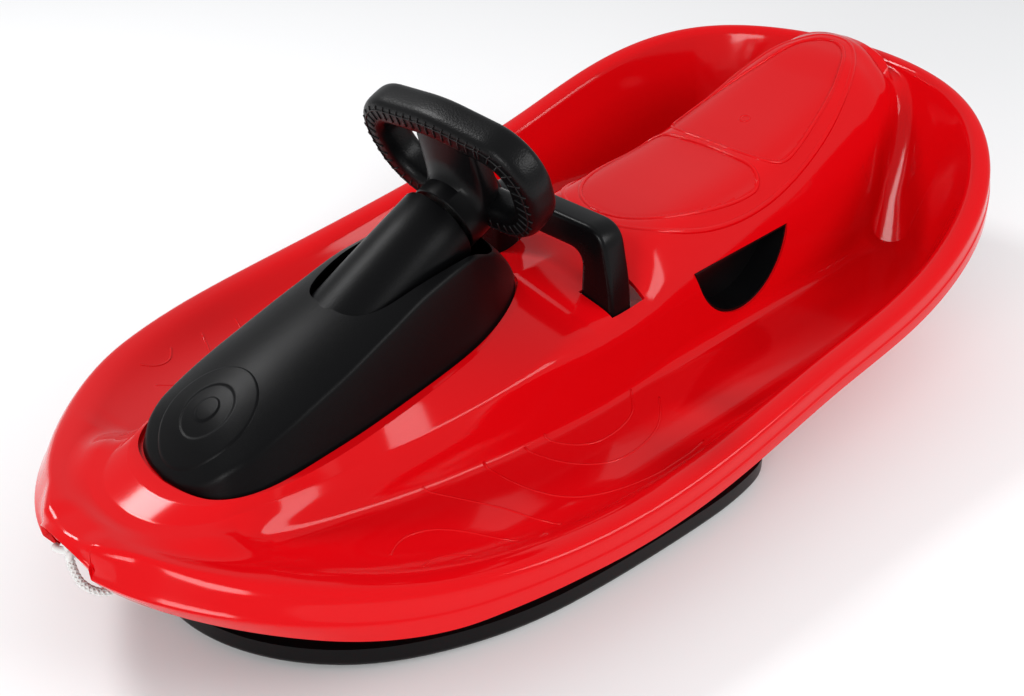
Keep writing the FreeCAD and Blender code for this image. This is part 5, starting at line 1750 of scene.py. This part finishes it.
@dataclass
class Studio:
    """Camera, floor and soft light."""

    lens: float = 45.72
    target: Point = (0.0515, 0.0, 0.0874)
    azimuth: float = 44.41
    elevation: float = 33.21
    roll: float = 0.07
    distance: float = 1.2454
    floor_size: float = 30.0
    floor_drop: float = 0.0005
    floor_colour: Colour = (0.93, 0.93, 0.93)
    floor_roughness: float = 0.9
    floor_specular: float = 0.1
    around: float = 0.62
    around_colour: Colour = (0.97, 0.98, 1.0)
    lamps: tuple[Lamp, ...] = (
        Lamp("window_nose", (2.4, 0.8, 1.0), (0.44, 0.15, 0.13), (0.9, 0.6), 23.0),
        Lamp("window_far", (0.5, -1.4, 1.85), (0.42, 0.0, 0.16), (0.5, 0.5), 20.0),
        Lamp("window_back", (-0.7, 1.8, 1.4), (0.1, 0.1, 0.13), (1.3, 0.7), 22.0),
    )

    def camera(self) -> bpy.types.Object:
        """Sets up the camera of the photo's view.

        Returns:
            The camera.
        """
        data = bpy.data.cameras.new("camera")
        data.sensor_width = 36.0
        data.lens = self.lens
        data.clip_start = 0.01
        data.clip_end = 100.0
        camera = bpy.data.objects.new("camera", data)
        bpy.context.scene.collection.objects.link(camera)
        turn, rise = math.radians(self.azimuth), math.radians(self.elevation)
        back = Vector((math.cos(turn) * math.cos(rise), math.sin(turn) * math.cos(rise), math.sin(rise)))
        camera.location = Vector(self.target) + self.distance * back
        look = (-back).to_track_quat("-Z", "Y").to_matrix() @ Matrix.Rotation(math.radians(self.roll), 3, "Z")
        camera.rotation_mode = "QUATERNION"
        camera.rotation_quaternion = look.to_quaternion()
        bpy.context.scene.camera = camera
        return camera

    def floor(self) -> bpy.types.Object:
        """Lays the plain pale floor.

        Returns:
            The floor.
        """
        h = self.floor_size / 2
        points = np.array([(x, y, -self.floor_drop) for x, y in ((-h, -h), (h, -h), (h, h), (-h, h))])
        floor = mesh_piece("floor", points, [(0, 1, 2, 3)], smooth=False)
        paper = bpy.data.materials.new("paper")
        paper.use_nodes = True
        shader = paper.node_tree.nodes["Principled BSDF"]
        shader.inputs["Base Color"].default_value = (*self.floor_colour, 1.0)
        shader.inputs["Roughness"].default_value = self.floor_roughness
        shader.inputs["Specular IOR Level"].default_value = self.floor_specular
        floor.data.materials.append(paper)
        return floor

    def light(self) -> None:
        """Hangs the lamps and sets the pale surroundings."""
        for lamp in self.lamps:
            lamp.hang()
        world = bpy.data.worlds.new("surroundings")
        bpy.context.scene.world = world
        world.use_nodes = True
        nodes, links = world.node_tree.nodes, world.node_tree.links
        nodes.clear()
        out = nodes.new("ShaderNodeOutputWorld")
        sky = nodes.new("ShaderNodeBackground")
        sky.inputs["Color"].default_value = (*self.around_colour, 1.0)
        sky.inputs["Strength"].default_value = self.around
        links.new(sky.outputs["Background"], out.inputs["Surface"])

    def build(self) -> None:
        """Sets up the whole studio."""
        scene = bpy.context.scene
        scene.view_settings.view_transform = "Standard"
        self.camera()
        self.floor()
        self.light()


def paint_frame(paints: Paintbox) -> None:
    """Gives every CAD node its finish.

    Args:
        paints: The materials.
    """
    for finish, names in NODE_FINISHES.items():
        for name in names:
            paints.paint(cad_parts[name], finish)


def main() -> None:
    """Builds the scene."""
    logging.basicConfig(level=logging.INFO, format="%(name)s: %(message)s")
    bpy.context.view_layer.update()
    paints = Paintbox()
    Studio().build()
    loop = TowLoop()
    loop.dress(loop.build(), paints)
    for part in (Hull(), Cowl(), SteeringWheel(), BrakeLever()):
        part.dress(part.build(), paints)
    paint_frame(paints)


if __name__ == "__main__":
    main()
